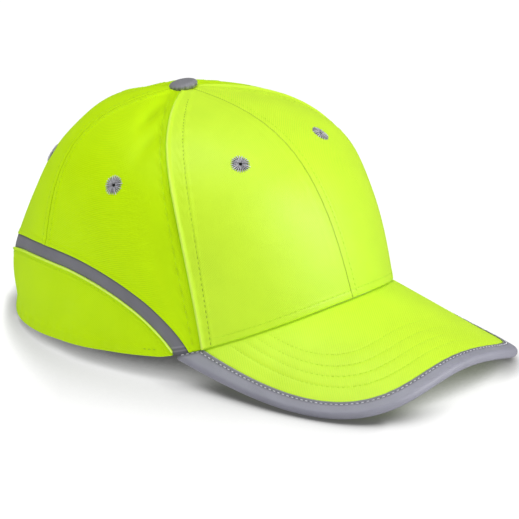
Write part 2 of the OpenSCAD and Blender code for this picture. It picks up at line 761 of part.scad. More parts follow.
module buckle_lever() {
    low = strap_low + 0.1;
    tall = strap_width - 0.2;
    swing = pin_along + bar_along - loop_out - 0.9;
    color([0.78, 0.79, 0.81]) at_buckle() translate([pin_out, pin_along, low]) difference() {
        union() {
            cylinder(h = tall, r = knuckle_radius, $fn = 48);
            translate([0.5, -swing, 0]) cube([knuckle_radius - 0.5, swing, tall]);
            translate([knuckle_radius - 0.1, -swing, 0]) cylinder(h = tall, r = 0.8, $fn = 32);
        }
        translate([0, 0, -1]) cylinder(h = tall + 2, r = pin_radius + 0.05, $fn = 48);
    }
}

// Which part to draw

front_panel_left();
front_panel_right();
side_panel_left();
side_panel_right();
rear_panel_left();
rear_panel_right();
lower_panel_left();
lower_panel_right();
reflective_tape_left();
reflective_tape_right();
front_stiffener_left();
front_stiffener_right();
seam_tapes();
arch_facing();
eyelets();
top_button();
button_stud();
visor_top_cover();
visor_board();
visor_under_cover();
visor_binding();
sweatband();
impact_shell();
hook_loop_dots();
front_pad();
side_pad_left();
side_pad_right();
rear_pad();
crown_pad();
free_strap();
strap_sleeve();
tuck_pocket();
anchor_strap();
buckle_frame();
buckle_pin();
buckle_lever();
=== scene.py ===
import math

import bpy
import numpy as np
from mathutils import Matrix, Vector


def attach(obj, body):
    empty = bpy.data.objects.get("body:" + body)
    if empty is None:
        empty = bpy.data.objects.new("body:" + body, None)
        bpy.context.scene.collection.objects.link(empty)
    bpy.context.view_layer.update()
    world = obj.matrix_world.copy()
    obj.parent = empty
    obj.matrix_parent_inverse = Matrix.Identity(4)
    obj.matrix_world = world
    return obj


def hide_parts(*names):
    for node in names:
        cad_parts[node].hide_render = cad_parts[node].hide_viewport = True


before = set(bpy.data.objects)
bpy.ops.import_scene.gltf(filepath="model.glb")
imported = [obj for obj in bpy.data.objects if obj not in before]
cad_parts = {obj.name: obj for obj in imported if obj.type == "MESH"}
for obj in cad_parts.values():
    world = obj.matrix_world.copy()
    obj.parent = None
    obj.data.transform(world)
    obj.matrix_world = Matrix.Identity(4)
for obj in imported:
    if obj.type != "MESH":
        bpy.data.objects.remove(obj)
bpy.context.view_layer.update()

# Sizes in millimetres and angles in degrees, the same as in the part's source. Angles run round the crown from 0 over
# the visor to 180 at the back, and are positive on the wearer's left. Climb runs up the crown from 0 at the rim to 1
# at the button.
HALF_LENGTH, HALF_WIDTH, TOP = 101.0, 85.0, 116.5
SETBACK = 13.0                          # of the button behind the middle of the head opening
TILT = 18.0                             # of the rim plane, from back to front
# Handles of the crown's upright sections in front, at the side and behind
RISE = (66.0, 88.0, 37.0)
LEAN = (-13 / HALF_LENGTH, -8 / HALF_WIDTH, 6 / HALF_LENGTH)
REACH = (87 / HALF_LENGTH, 67 / HALF_WIDTH, 62 / HALF_LENGTH)
SIDE_DROP = 6.0
FABRIC = 0.9
# Seams: angle at the rim, angle at the button, and the bow halfway up
MIDDLE_SEAM, FRONT_SEAM = (0.0, 0.0, -4.0), (53.0, 65.0, 3.0)
REAR_SEAM, BACK_SEAM = (110.5, 114.0, 0.0), (180.0, 180.0, 0.0)
TAPE_WIDTH, TAPE_RISE, TAPE_START, TAPE_PEAK, TAPE_FALL = 7.2, 44.0, 56.0, 111.0, 13.5
ARCH_HALF, ARCH_HEIGHT = 36.0, 48.0
ARCH_CORNER = 180 - math.degrees(math.asin(ARCH_HALF / HALF_WIDTH))
VISOR_REACH, VISOR_HALF, VISOR_SQUARE = 66.0, 75.0, 4.0
VISOR_HEIGHT, VISOR_PITCH = 33.4, math.tan(math.radians(12.0))
VISOR_ARCH, VISOR_CORNER = 105.0, 61.0
VISOR_LIFT, VISOR_BOTTOM, VISOR_END = 0.5, 3.8, 0.985
COVER = 0.55                            # thickness of a visor cover, a stiffener and a seam tape
BINDING = 8.0
LINING, SHELL, PAD = 1.3, 2.6, 5.0      # depths under the crown
STRAP_CIRCLE = HALF_WIDTH ** 2 / HALF_LENGTH
STRAP_AXIS = HALF_LENGTH - STRAP_CIRCLE
STRAP_OUT, STRAP_IN = STRAP_CIRCLE - 3.3, STRAP_CIRCLE - 4.5
STRAP_LOW, STRAP_HIGH = 3.5, 23.5
BUCKLE_ANGLE = 14.0
# Eyelets: angle and height
EYELETS = ((24.5, 101.0), (-32.0, 99.0), (83.0, 87.0), (-83.0, 87.0), (136.0, 83.0), (-136.0, 83.0))


# Camera, light and floor

PICTURE_SIDE, PIXELS_PER_METRE = 519.0, 2044.8
VIEW_AZIMUTH, VIEW_ELEVATION, VIEW_DISTANCE = math.radians(-48.2987), math.radians(19.8885), 1.902
VIEW_TARGET, VIEW_NUDGE = (0.0090112, -0.030, 0.0333757), 2.5 / PIXELS_PER_METRE
SENSOR = 36.0

SKY = 0.10
CAP_MIDDLE, CAP_FRONT, KEY_PLACE = (0.0, 0.0, 0.05), (0.0, -0.03, 0.05), (0.40, -1.28, 0.66)
# Soft boxes: name, place, target, size in metres, watts, and whether it gives highlights and diffuse light
SOFT_BOXES = (
    ("key", KEY_PLACE, CAP_FRONT, 0.7, 10.3, True, True),
    ("top", (-0.10, 0.12, 1.5), CAP_MIDDLE, 1.1, 14.0, True, True),
    ("fill", (-1.3, 0.3, 0.6), CAP_MIDDLE, 1.0, 2.0, False, True),
    ("gleam", KEY_PLACE, CAP_FRONT, 0.7, 15.0, True, False),
)

FLOOR_HALF = 6.0
FLOOR_GREY = (0.13, 0.13, 0.13)
FLOOR_TURN, FLOOR_SCALE, FLOOR_START = math.radians(48.3), (3, 3, 1), 0.45
FLOOR_DARKEST = 0.08
# Painted shadows of the floor: reach in metres for places across the picture, open share that counts as dark, and slope
FLOOR_SHADES = (
    (((0.14, 0.004), (0.25, 0.075), (0.50, 0.075), (0.62, 0.032), (0.76, 0.018), (0.92, 0.010)), 0.27, 1.37),
    (((0.34, 0.003), (0.42, 0.028), (0.62, 0.028), (0.72, 0.006)), 0.50, 1.9),
    (((0.0, 0.15), (1.0, 0.15)), 0.06, 3.0),
)


def aim(obj, place, target):
    """Puts obj at place and turns it so that its -Z looks at the target."""
    obj.location = place
    obj.rotation_euler = (Vector(target) - Vector(place)).to_track_quat("-Z", "Y").to_euler()


def add_camera():
    """The photograph's long-lens view, found by fitting the crown and visor lines to the picture."""
    flat = math.cos(VIEW_ELEVATION)
    back = np.array([math.sin(VIEW_AZIMUTH) * flat, -math.cos(VIEW_AZIMUTH) * flat, math.sin(VIEW_ELEVATION)])
    right = np.array([math.cos(VIEW_AZIMUTH), math.sin(VIEW_AZIMUTH), 0.0])
    up = np.cross(back, right)
    target = np.array(VIEW_TARGET) + (up - right) * VIEW_NUDGE
    data = bpy.data.cameras.new("photo_camera")
    data.sensor_width = SENSOR
    data.lens = SENSOR * PIXELS_PER_METRE * VIEW_DISTANCE / PICTURE_SIDE
    data.clip_start, data.clip_end = 0.05, 50.0
    camera = bpy.data.objects.new("photo_camera", data)
    bpy.context.collection.objects.link(camera)
    aim(camera, target + back * VIEW_DISTANCE, target)
    bpy.context.scene.camera = camera


def add_lights():
    """White world and square soft boxes."""
    world = bpy.data.worlds.new("studio")
    bpy.context.scene.world = world
    world.use_nodes = True
    sky = world.node_tree.nodes["Background"]
    sky.inputs["Color"].default_value = (1.0, 1.0, 1.0, 1.0)
    sky.inputs["Strength"].default_value = SKY
    for name, place, target, size, watts, glossy, diffuse in SOFT_BOXES:
        data = bpy.data.lights.new(name, "AREA")
        data.size, data.energy = size, watts
        light = bpy.data.objects.new(name, data)
        light.visible_glossy, light.visible_diffuse = glossy, diffuse
        bpy.context.collection.objects.link(light)
        aim(light, place, target)
    bpy.context.scene.view_settings.view_transform = "Standard"


def add_floor():
    """Pale floor that glows white, with a painted shadow where the cap covers it: each painted shade is a straight line
    of the open share, and the darkest one counts."""
    mesh, half = bpy.data.meshes.new("floor"), FLOOR_HALF
    mesh.from_pydata([(-half, -half, 0), (half, -half, 0), (half, half, 0), (-half, half, 0)], [], [(0, 1, 2, 3)])
    floor = bpy.data.objects.new("floor", mesh)
    floor.visible_glossy = False
    bpy.context.collection.objects.link(floor)
    mat, tree, shader = new_material("pale_floor", FLOOR_GREY, 0.9, 0.1)
    shader.inputs["Emission Color"].default_value = (1, 1, 1, 1)
    spot = tree.nodes.new("ShaderNodeSeparateXYZ")
    tree.links.new(coords(tree, "Object", FLOOR_SCALE, FLOOR_TURN), spot.inputs[0])
    across = maths(tree, "ADD", spot.outputs[0], FLOOR_START)
    lit = 1.0
    # Each pass darkens the glow into a painted shadow where the cap covers the floor
    for reach, least, slope in FLOOR_SHADES:
        covered = tree.nodes.new("ShaderNodeAmbientOcclusion")
        covered.samples = 20
        tree.links.new(ramp(tree, across, [(at, (far,) * 3) for at, far in reach]), covered.inputs["Distance"])
        share = maths(tree, "MULTIPLY", maths(tree, "SUBTRACT", covered.outputs["AO"], least), slope)
        lit = maths(tree, "MINIMUM", lit, share)
    tree.links.new(maths(tree, "MAXIMUM", lit, FLOOR_DARKEST), shader.inputs["Emission Strength"])
    mesh.materials.append(mat)


# Crown surface

def smooth(t):
    """Eased step from 0 to 1, the cubic 3t² - 2t³."""
    t = np.clip(t, 0.0, 1.0)
    return t * t * (3 - 2 * t)


def length(v):
    """Lengths of vectors."""
    return np.linalg.norm(v, axis=-1)


def unit(v):
    """Vectors divided by their lengths."""
    return v / np.maximum(length(v)[..., None], 1e-12)


def blend(angle, three):
    """Front, side and rear value mixed by the squared cosine of the angle round the crown."""
    c = np.cos(np.radians(angle))
    front, side, rear = three
    return side + (front - side) * np.maximum(c, 0) ** 2 + (rear - side) * np.maximum(-c, 0) ** 2


def rim_plane(angle):
    """Height of the tilted rim plane under the crown edge, by the cosine of the angle."""
    return TILT / 2 * (np.cos(np.radians(angle)) - math.cos(math.radians(ARCH_CORNER)))


def crown(angle, climb):
    """Each upright section is a cubic curve from rim to button; its handles blend from front to side to rear."""
    angle, climb = np.broadcast_arrays(np.asarray(angle, float), np.asarray(climb, float))
    down = 1 - climb
    b0, b1, b2, b3 = down ** 3, 3 * climb * down ** 2, 3 * climb ** 2 * down, climb ** 3
    spread = b0 + b1 * (1 + blend(angle, LEAN)) + b2 * blend(angle, REACH)
    foot = rim_plane(angle)
    shoulder = TOP - blend(angle, (0, SIDE_DROP, 0))
    z = b0 * foot + b1 * (blend(angle, RISE) + foot) + b2 * shoulder + b3 * TOP
    x = HALF_WIDTH * np.sin(np.radians(angle)) * spread
    y = SETBACK * (b2 + b3) - HALF_LENGTH * np.cos(np.radians(angle)) * spread
    return np.stack([x, y, z], -1)


def crown_normal(angle, climb):
    """Cross product of small steps along and up the crown."""
    along = crown(angle + 0.25, climb) - crown(angle - 0.25, climb)
    up = crown(angle, climb + 0.003) - crown(angle, np.maximum(climb - 0.003, 0))
    return unit(np.cross(along, up))


def crown_axes(angle, climb):
    """East and north along the crown at one place, and the normal there."""
    n = crown_normal(angle, climb)
    east = unit(np.cross([0.0, 0.0, 1.0], n))
    return east, np.cross(n, east), n


def crown_speed(angle, climb):
    """Millimetres of crown per degree of angle."""
    return length(crown(angle + 0.5, climb) - crown(angle - 0.5, climb))


def laid(angle, climb, lift):
    """Point at a height lift over the crown, along its normal."""
    return crown(angle, climb) + crown_normal(angle, climb) * np.asarray(lift)[..., None]


def halved(under, shape, high, rounds):
    """Climb where under turns false, found by halving the range from 0 to high."""
    low, high = np.zeros(shape), np.full(shape, high)
    for _ in range(rounds):
        middle = (low + high) / 2
        below = under(middle)
        low, high = np.where(below, middle, low), np.where(below, high, middle)
    return (low + high) / 2


def climb_at(angle, height):
    """Climb where the crown reaches a height."""
    angle, height = np.broadcast_arrays(np.asarray(angle, float), np.asarray(height, float))
    climb = halved(lambda c: crown(angle, c)[..., 2] < height, angle.shape, 0.97, 26)
    return np.where(height <= rim_plane(angle) + 0.001, 0.0, climb)


# Visor surface

def visor_z(x, y):
    """An arch of constant radius that pitches down to the front."""
    return VISOR_HEIGHT + VISOR_PITCH * (y + HALF_LENGTH) - (VISOR_ARCH - np.sqrt(VISOR_ARCH ** 2 - x ** 2))


def seam_climb(angle):
    """Climb where the crown meets the visor surface."""
    angle = np.asarray(angle, float)

    def under(climb):
        """Whether the crown is lower than the visor there."""
        p = crown(angle, climb)
        return p[..., 2] < visor_z(p[..., 0], p[..., 1])

    return halved(under, angle.shape, 0.3, 24)


def visor_lines(part):
    """Plan of the crown seam and of the outer edge, a squared ellipse, for parts from -1 to 1 across the visor."""
    part = np.asarray(part, float)
    p = crown(VISOR_CORNER * part, seam_climb(VISOR_CORNER * part))
    seam = p[..., :2] * (1 + 0.1 / HALF_WIDTH)
    turn = part * math.atan2(VISOR_HALF, HALF_LENGTH * math.cos(math.radians(VISOR_CORNER)))
    r = (np.abs(np.sin(turn) / VISOR_HALF) ** VISOR_SQUARE
         + np.abs(np.cos(turn) / (HALF_LENGTH + VISOR_REACH)) ** VISOR_SQUARE) ** (-1 / VISOR_SQUARE)
    return seam, r[..., None] * np.stack([np.sin(turn), -np.cos(turn)], -1)


def visor_depth(part):
    """Distance from the outer edge to the crown seam."""
    seam, edge = visor_lines(part)
    return length(seam - edge)


def visor(part, inset, depth):
    """Point at a distance inset from the outer edge and depth under the visor's top line, with the normal there."""
    part, inset, depth = np.broadcast_arrays(*(np.asarray(v, float) for v in (part, inset, depth)))
    seam, edge = visor_lines(part)
    plan = edge + unit(seam - edge) * inset[..., None]
    x, y = plan[..., 0], plan[..., 1]
    slope = x / np.sqrt(VISOR_ARCH ** 2 - x ** 2)
    normal = unit(np.stack([slope, np.full(x.shape, -VISOR_PITCH), np.ones(x.shape)], -1))
    return np.stack([x, y, visor_z(x, y)], -1) - normal * depth[..., None], normal


# Seams, tape and back opening

def rim_z(angle):
    """The visor seam in front, running out into the rim plane behind the visor corners."""
    plane, turn = rim_plane(angle), np.abs(angle)
    seam = crown(angle, seam_climb(np.clip(angle, -75, 75)))[..., 2]
    return plane + np.maximum(seam - plane, 0) * smooth((VISOR_CORNER + 8 - turn) / 8)


def tape_height(angle):
    """Upper edge of the tape over the rim plane: a steep start at the visor corner that flattens, then a slow fall."""
    turn = np.abs(angle)
    rise = 1 - np.clip((TAPE_PEAK - turn) / (TAPE_PEAK - TAPE_START), 0, 1) ** 2.4
    fall = TAPE_FALL * (np.maximum(turn - TAPE_PEAK, 0) / (ARCH_CORNER - TAPE_PEAK)) ** 2
    return TAPE_RISE * rise ** 0.8 - fall


def tape_foot(angle):
    """Lower edge of the tape, square to its run and never under the rim."""
    turn = np.maximum(np.abs(angle), TAPE_START + 2)
    slope = (tape_height(turn + 1) - tape_height(turn - 1)) / 2 / crown_speed(turn, 0.1)
    return np.maximum(rim_z(angle), rim_plane(angle) + tape_height(angle) - TAPE_WIDTH * np.sqrt(1 + slope ** 2))


def arch_rise(angle):
    """Height of the back opening over the rim plane, half an ellipse."""
    x = HALF_WIDTH * np.sin(np.radians(angle)) / ARCH_HALF
    inside = (np.abs(angle) > 90) & (np.abs(x) < 1)
    return np.where(inside, ARCH_HEIGHT * np.sqrt(np.maximum(1 - x * x, 0)), 0.0)


def arch_angle(height):
    """Angle of the edge of the back opening at a height over the rim plane."""
    x = ARCH_HALF * np.sqrt(np.maximum(1 - (np.minimum(height, ARCH_HEIGHT) / ARCH_HEIGHT) ** 2, 0))
    return 180 - np.degrees(np.arcsin(x / HALF_WIDTH))


def upper_foot(angle):
    """Lower edge of the upper panels: visor seam, tape or back opening, whichever is highest."""
    tape = np.where(np.abs(angle) > TAPE_START, tape_height(angle) - 0.4, 0.0)
    return np.maximum(rim_z(angle), rim_plane(angle) + np.maximum(tape, arch_rise(angle)))


def bowed(bow, climb):
    """Bow of a line, a parabola that is widest halfway up."""
    return bow * 4 * climb * (1 - climb)


def seam_at(seam, climb):
    """Angle of a seam at a climb: a straight run from foot to top, and its bow."""
    return seam[0] + (seam[1] - seam[0]) * climb + bowed(seam[2], climb)


def seam_foot(seam):
    """Angle where a seam meets the lower edge, found by stepping."""
    angle = seam[0]
    for _ in range(8):
        angle = seam_at(seam, float(climb_at(angle, upper_foot(np.array(angle)))))
    return angle


def mirrored(seam):
    """The same seam on the other side."""
    return tuple(-v for v in seam)


def between_seams(foot, head, bow, low, climb):
    """Angles of a panel's columns: straight runs from foot to head that share their bow out between the two seams."""
    line = foot - bowed(bow, low)
    return line + (head - line) * (climb - low) / (1 - low) + bowed(bow, climb)


# Meshes

def gathered(count, pull=0.72):
    """Steps from 0 to 1 that lie closer together at both ends, a ramp less a sine."""
    x = np.linspace(0, 1, count + 1)
    return x - pull * np.sin(2 * np.pi * x) / (2 * np.pi)


def make(name, verts, quads, material, uv=None, slot=None, body="cap", node=None, shade=None):
    """A mesh object from vertices in millimetres and faces, turned outwards by the sign of its volume. Shade is an
    attribute of painted shade where it is positive and of painted highlight where it is negative."""
    used, quads = np.unique(quads, return_inverse=True)
    quads = quads.reshape(-1, 4)
    verts = verts[used]
    a, b, c, d = (verts[quads[:, k]] for k in range(4))
    volume = np.einsum("ij,ij->i", a, np.cross(b, c)).sum() + np.einsum("ij,ij->i", a, np.cross(c, d)).sum()
    if volume < 0:
        quads = quads[:, ::-1]
    mesh = bpy.data.meshes.new(name)
    mesh.vertices.add(len(verts))
    mesh.vertices.foreach_set("co", (verts * 0.001).astype(np.float32).ravel())
    mesh.loops.add(quads.size)
    mesh.loops.foreach_set("vertex_index", quads.ravel().astype(np.int32))
    mesh.polygons.add(len(quads))
    mesh.polygons.foreach_set("loop_start", np.arange(0, quads.size, 4, dtype=np.int32))
    mesh.polygons.foreach_set("use_smooth", np.ones(len(quads), bool))
    if uv is not None:
        cloth = mesh.uv_layers.new(name="cloth")
        cloth.data.foreach_set("uv", uv[used][quads.ravel()].astype(np.float32).ravel())
    if shade is not None:
        tone = mesh.attributes.new("shade", "FLOAT", "POINT")
        tone.data.foreach_set("value", shade[used].astype(np.float32))
    mesh.update(calc_edges=True)
    mesh.validate()
    mesh.materials.append(material)
    obj = bpy.data.objects.new(name, mesh)
    bpy.context.collection.objects.link(obj)
    if node:
        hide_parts(node)
    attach(obj, body)
    return obj


def grid_faces(rows, columns, wrap_rows=False, wrap_columns=False):
    """Faces of a grid of points numbered row by row."""
    down, across = (rows if wrap_rows else rows - 1), (columns if wrap_columns else columns - 1)
    j, i = np.meshgrid(np.arange(down), np.arange(across), indexing="ij")
    i2, j2 = (i + 1) % columns, (j + 1) % rows
    corners = [j * columns + i, j * columns + i2, j2 * columns + i2, j2 * columns + i]
    return np.stack(corners, -1).reshape(-1, 4)


def shell_of(outer, inner, keep=None, closed=False):
    """Closed sheet between an outer and an inner grid, with walls round its edge and round cells left out."""
    rows, columns = outer.shape[:2]
    cells = columns if closed else columns - 1
    keep = np.ones((rows - 1, cells), bool) if keep is None else keep
    j, i = np.nonzero(keep)
    i2 = (i + 1) % columns
    a, b, c, d = j * columns + i, j * columns + i2, (j + 1) * columns + i2, (j + 1) * columns + i
    back = rows * columns
    faces = [np.stack([a, b, c, d], -1), np.stack([a, d, c, b], -1) + back]
    padded = np.pad(keep, 1)
    if closed:
        padded[1:-1, 0], padded[1:-1, -1] = keep[:, -1], keep[:, 0]
    for (dj, di), (p, q) in (((-1, 0), (a, b)), ((0, 1), (b, c)), ((1, 0), (c, d)), ((0, -1), (d, a))):
        rim = ~padded[j + 1 + dj, i + 1 + di]
        faces.append(np.stack([q[rim], p[rim], p[rim] + back, q[rim] + back], -1))
    return np.concatenate([outer.reshape(-1, 3), inner.reshape(-1, 3)]), np.concatenate(faces)


def sheet(name, outer, inner, material, uv=None, keep=None, closed=False, shade=None, **rest):
    """Object of a closed sheet; the inner face takes the outer face's cloth coordinates and no shade."""
    verts, faces = shell_of(outer, inner, keep, closed)
    uv = None if uv is None else np.concatenate([uv.reshape(-1, 2)] * 2)
    shade = None if shade is None else np.concatenate([shade.ravel(), 0 * shade.ravel()])
    return make(name, verts, faces, material, uv=uv, shade=shade, **rest)


def cloth_uv(points):
    """Running lengths across and up a grid of points, in millimetres, centred on its middle column."""
    across, up = length(np.diff(points, axis=1)), length(np.diff(points, axis=0))
    u = np.concatenate([np.zeros((points.shape[0], 1)), np.cumsum(across, 1)], 1)
    v = np.concatenate([np.zeros((1, points.shape[1])), np.cumsum(up, 0)], 0)
    return np.stack([u - u[:, u.shape[1] // 2][:, None], v], -1)


def crown_sheet(name, angle, climb, top, bottom, material, woven=True, **rest):
    """Closed sheet between two heights over the crown; a woven one takes its cloth coordinates from the crown."""
    uv = cloth_uv(crown(angle, climb)) if woven else None
    return sheet(name, laid(angle, climb, top), laid(angle, climb, bottom), material, uv=uv, **rest)


def full_turn(count):
    """Even steps of one full turn, in radians."""
    return np.arange(count) * 2 * np.pi / count


def turned_about(centre, axes, r, h, turn):
    """A section of radii and heights turned about an axis: radius times cosine and sine along two sides, height up."""
    east, north, n = axes
    return centre + (r * np.cos(turn))[..., None] * east + (r * np.sin(turn))[..., None] * north + h[..., None] * n


def thread_row(points, normals, pitch=2.6, stitch=1.9, radius=0.15, proud=0.08):
    """Stitches along a line: six-sided rods that thin and dip into the cloth at both ends, by a fourth power."""
    stations, sides, dip, taper = 5, 6, 0.42, 0.35
    run = np.concatenate([[0], np.cumsum(length(np.diff(points, axis=0)))])
    middle = np.arange(pitch * 0.6, run[-1] - pitch * 0.5, pitch)
    step = np.linspace(-1, 1, stations)
    place = middle[:, None] + step[None] * stitch / 2

    def at(field, s):
        """A field of the line at running lengths, straight between its points."""
        return np.stack([np.interp(s, run, field[:, k]) for k in range(3)], -1)

    p, n = at(points, place), unit(at(normals, place))
    along = unit(at(points, place + 0.05) - at(points, place - 0.05))
    side = unit(np.cross(along, n))
    p = p + n * (proud - dip * step[None, :, None] ** 4)
    ring = full_turn(sides)
    girth = radius * (1 - taper * step[None, :, None, None] ** 4)
    round_it = np.cos(ring)[:, None] * side[:, :, None] + np.sin(ring)[:, None] * n[:, :, None]
    verts = p[:, :, None] + girth * round_it
    first = np.array([[3, 2, 1, 0], [0, 5, 4, 3]])
    last = first[:, ::-1] + (stations - 1) * sides
    rod = np.concatenate([grid_faces(stations, sides, wrap_columns=True), first, last])[:, ::-1]
    faces = np.arange(len(middle))[:, None, None] * stations * sides + rod
    return verts.reshape(-1, 3), faces.reshape(-1, 4)


def joined(parts):
    """One list of vertices and faces from several."""
    start = np.cumsum([0] + [len(v) for v, _ in parts[:-1]])
    return np.concatenate([v for v, _ in parts]), np.concatenate([f + s for (_, f), s in zip(parts, start)])


# Materials

WAVE = 0.314        # scale of a wave texture that gives one band in each unit of length


def new_material(name, colour, rough, specular=0.3, sheen=0.0, metallic=0.0, glow=0.0):
    """A material with its even values set on the shader itself; glow is a painted emission in the base colour."""
    mat = bpy.data.materials.new(name)
    mat.use_nodes = True
    shader = mat.node_tree.nodes["Principled BSDF"]
    for socket, value in (("Base Color", (*colour, 1)), ("Roughness", rough), ("Specular IOR Level", specular),
                          ("Metallic", metallic), ("Sheen Weight", sheen), ("Sheen Roughness", 0.5)):
        shader.inputs[socket].default_value = value
    if glow:
        shader.inputs["Emission Color"].default_value = (*colour, 1)
        shader.inputs["Emission Strength"].default_value = glow
    return mat, mat.node_tree, shader


def coords(tree, kind, scale=(1, 1, 1), turn=0.0):
    """Texture coordinates through a mapping."""
    source = tree.nodes.new("ShaderNodeTexCoord")
    mapping = tree.nodes.new("ShaderNodeMapping")
    mapping.inputs["Scale"].default_value = scale
    mapping.inputs["Rotation"].default_value = (0, 0, turn)
    tree.links.new(source.outputs[kind], mapping.inputs["Vector"])
    return mapping.outputs["Vector"]


def in_millimetres(tree):
    """Object coordinates in millimetres."""
    return coords(tree, "Object", (1000, 1000, 1000))


def texture(tree, kind, vector, **values):
    """A texture node on a vector, with values set on its sockets."""
    node = tree.nodes.new(kind)
    for socket, value in values.items():
        node.inputs[socket.replace("_", " ")].default_value = value
    tree.links.new(vector, node.inputs["Vector"])
    return node


def noise(tree, vector, scale, detail=2.0, rough=0.5):
    """Cloudy noise from 0 to 1."""
    return texture(tree, "ShaderNodeTexNoise", vector, Scale=scale, Detail=detail, Roughness=rough).outputs["Fac"]


def bands(tree, vector, period, warp):
    """Parallel bands from 0 to 1, one in each period, a little warped."""
    return texture(tree, "ShaderNodeTexWave", vector, Scale=WAVE / period, Distortion=warp, Detail=1.0,
                   Detail_Scale=2.0).outputs["Fac"]


def maths(tree, kind, a, b):
    """One step of arithmetic on sockets or numbers."""
    node = tree.nodes.new("ShaderNodeMath")
    node.operation = kind
    for socket, value in zip(node.inputs, (a, b)):
        if isinstance(value, (int, float)):
            socket.default_value = value
        else:
            tree.links.new(value, socket)
    return node.outputs[0]


def mixed(tree, a, share_a, b, share_b):
    """Sum of two sockets, each times its share."""
    return maths(tree, "ADD", maths(tree, "MULTIPLY", a, share_a), maths(tree, "MULTIPLY", b, share_b))


def ramp(tree, factor, stops):
    """Colour ramp from (place, colour) stops."""
    node = tree.nodes.new("ShaderNodeValToRGB")
    tree.links.new(factor, node.inputs["Fac"])
    marks = node.color_ramp.elements
    while len(marks) < len(stops):
        marks.new(0.5)
    for stop, (place, colour) in zip(marks, stops):
        stop.position, stop.color = place, (*colour, 1)
    return node.outputs["Color"]


def tinted(colour, share):
    """A colour made darker or lighter by a share."""
    return tuple(min(1.0, c * share) for c in colour)


def toned(tree, factor, colour, *stops):
    """Ramp through shares of one colour, from (place, share) stops."""
    return ramp(tree, factor, [(place, tinted(colour, share)) for place, share in stops])


def raised(tree, shader, height, distance, strength):
    """Bump from a height, in metres."""
    bump = tree.nodes.new("ShaderNodeBump")
    bump.inputs["Strength"].default_value = strength
    bump.inputs["Distance"].default_value = distance
    tree.links.new(height, bump.inputs["Height"])
    tree.links.new(bump.outputs["Normal"], shader.inputs["Normal"])


def shaded(tree, shader, colour, dark, pale, glow=False):
    """Links a colour with painted shade where the shade attribute is positive and a painted highlight where it is
    negative; with glow the painted colour also feeds the emission.
    """
    attribute = tree.nodes.new("ShaderNodeAttribute")
    attribute.attribute_name = "shade"
    for side, other in ((1.0, dark), (-1.0, pale)):
        mix = tree.nodes.new("ShaderNodeMixRGB")
        share = maths(tree, "MULTIPLY", attribute.outputs["Fac"], side)
        tree.links.new(maths(tree, "MINIMUM", maths(tree, "MAXIMUM", share, 0.0), 1.0), mix.inputs["Fac"])
        tree.links.new(colour, mix.inputs["Color1"])
        mix.inputs["Color2"].default_value = (*other, 1)
        colour = mix.outputs["Color"]
    tree.links.new(colour, shader.inputs["Base Color"])
    if glow:
        tree.links.new(colour, shader.inputs["Emission Color"])


def twill(name, colour, glow=0.0, period=0.85, depth=0.00007, specular=0.3, pale=None):
    """Twill: slanted ribs crossed by fine weft, with cloudy dye and darker hollows between the ribs."""
    mat, tree, shader = new_material(name, colour, 0.45, specular, glow=glow)
    flat = coords(tree, "UV")
    rib = bands(tree, coords(tree, "UV", turn=math.radians(58)), period, 0.5)
    weft = bands(tree, flat, period * 0.62, 0.4)
    fuzz = maths(tree, "MULTIPLY", noise(tree, flat, 2.2), 0.25)
    crossed = maths(tree, "MULTIPLY", rib, maths(tree, "ADD", weft, 0.8))
    raised(tree, shader, maths(tree, "ADD", crossed, fuzz), depth, 0.7)
    tone = mixed(tree, rib, 0.45, noise(tree, flat, 0.035, 3.0, 0.6), 0.55)
    dyed = toned(tree, tone, colour, (0.2, 0.86), (0.5, 1.0), (0.8, 1.06))
    shaded(tree, shader, dyed, tinted(colour, 0.30), pale or tinted(colour, 1.3), glow > 0)
    return mat


def tape_finish(name, colour):
    """Reflective tape: fine grey weave with a bead glitter and a soft gloss."""
    mat, tree, shader = new_material(name, colour, 0.5, 0.5, 0.05)
    flat = coords(tree, "UV")
    across = coords(tree, "UV", turn=math.radians(90))
    weave = maths(tree, "MULTIPLY", bands(tree, flat, 0.6, 0.3), bands(tree, across, 0.6, 0.3))
    beads = noise(tree, flat, 4.0)
    raised(tree, shader, maths(tree, "ADD", weave, beads), 0.00007, 0.8)
    tone = mixed(tree, noise(tree, flat, 0.06, 3.0), 0.6, beads, 0.4)
    grey = toned(tree, tone, colour, (0.3, 0.88), (0.5, 1.0), (0.72, 1.12))
    shaded(tree, shader, grey, tinted(colour, 0.25), tinted(colour, 1.9))
    return mat


def thread_finish(name, colour, glow=0.0):
    """Sewing thread: a fine twist over the whole colour."""
    mat, tree, shader = new_material(name, colour, 0.6, 0.35, 0.1, glow=glow)
    twist = noise(tree, in_millimetres(tree), 3.0)
    raised(tree, shader, twist, 0.0001, 0.6)
    spun = toned(tree, twist, colour, (0.3, 0.85), (0.7, 1.1))
    shaded(tree, shader, spun, tinted(colour, 0.2), tinted(colour, 1.6))
    return mat


def moulded(name, colour):
    """Moulded plastic with a fine spark grain and faint flow marks."""
    mat, tree, shader = new_material(name, colour, 0.5, 0.45)
    flat = in_millimetres(tree)
    raised(tree, shader, noise(tree, flat, 1.6, 3.0), 0.00012, 0.5)
    flow = toned(tree, noise(tree, flat, 0.03), colour, (0.3, 0.8), (0.7, 1.25))
    tree.links.new(flow, shader.inputs["Base Color"])
    return mat


def foam(name, colour):
    """Closed cell foam: small round cells of uneven size."""
    mat, tree, shader = new_material(name, colour, 0.85, 0.2, 0.08)
    cell = texture(tree, "ShaderNodeTexVoronoi", in_millimetres(tree), Scale=1.1).outputs["Distance"]
    raised(tree, shader, cell, 0.0003, 0.6)
    tree.links.new(toned(tree, cell, colour, (0.0, 0.6), (0.6, 1.3)), shader.inputs["Base Color"])
    return mat


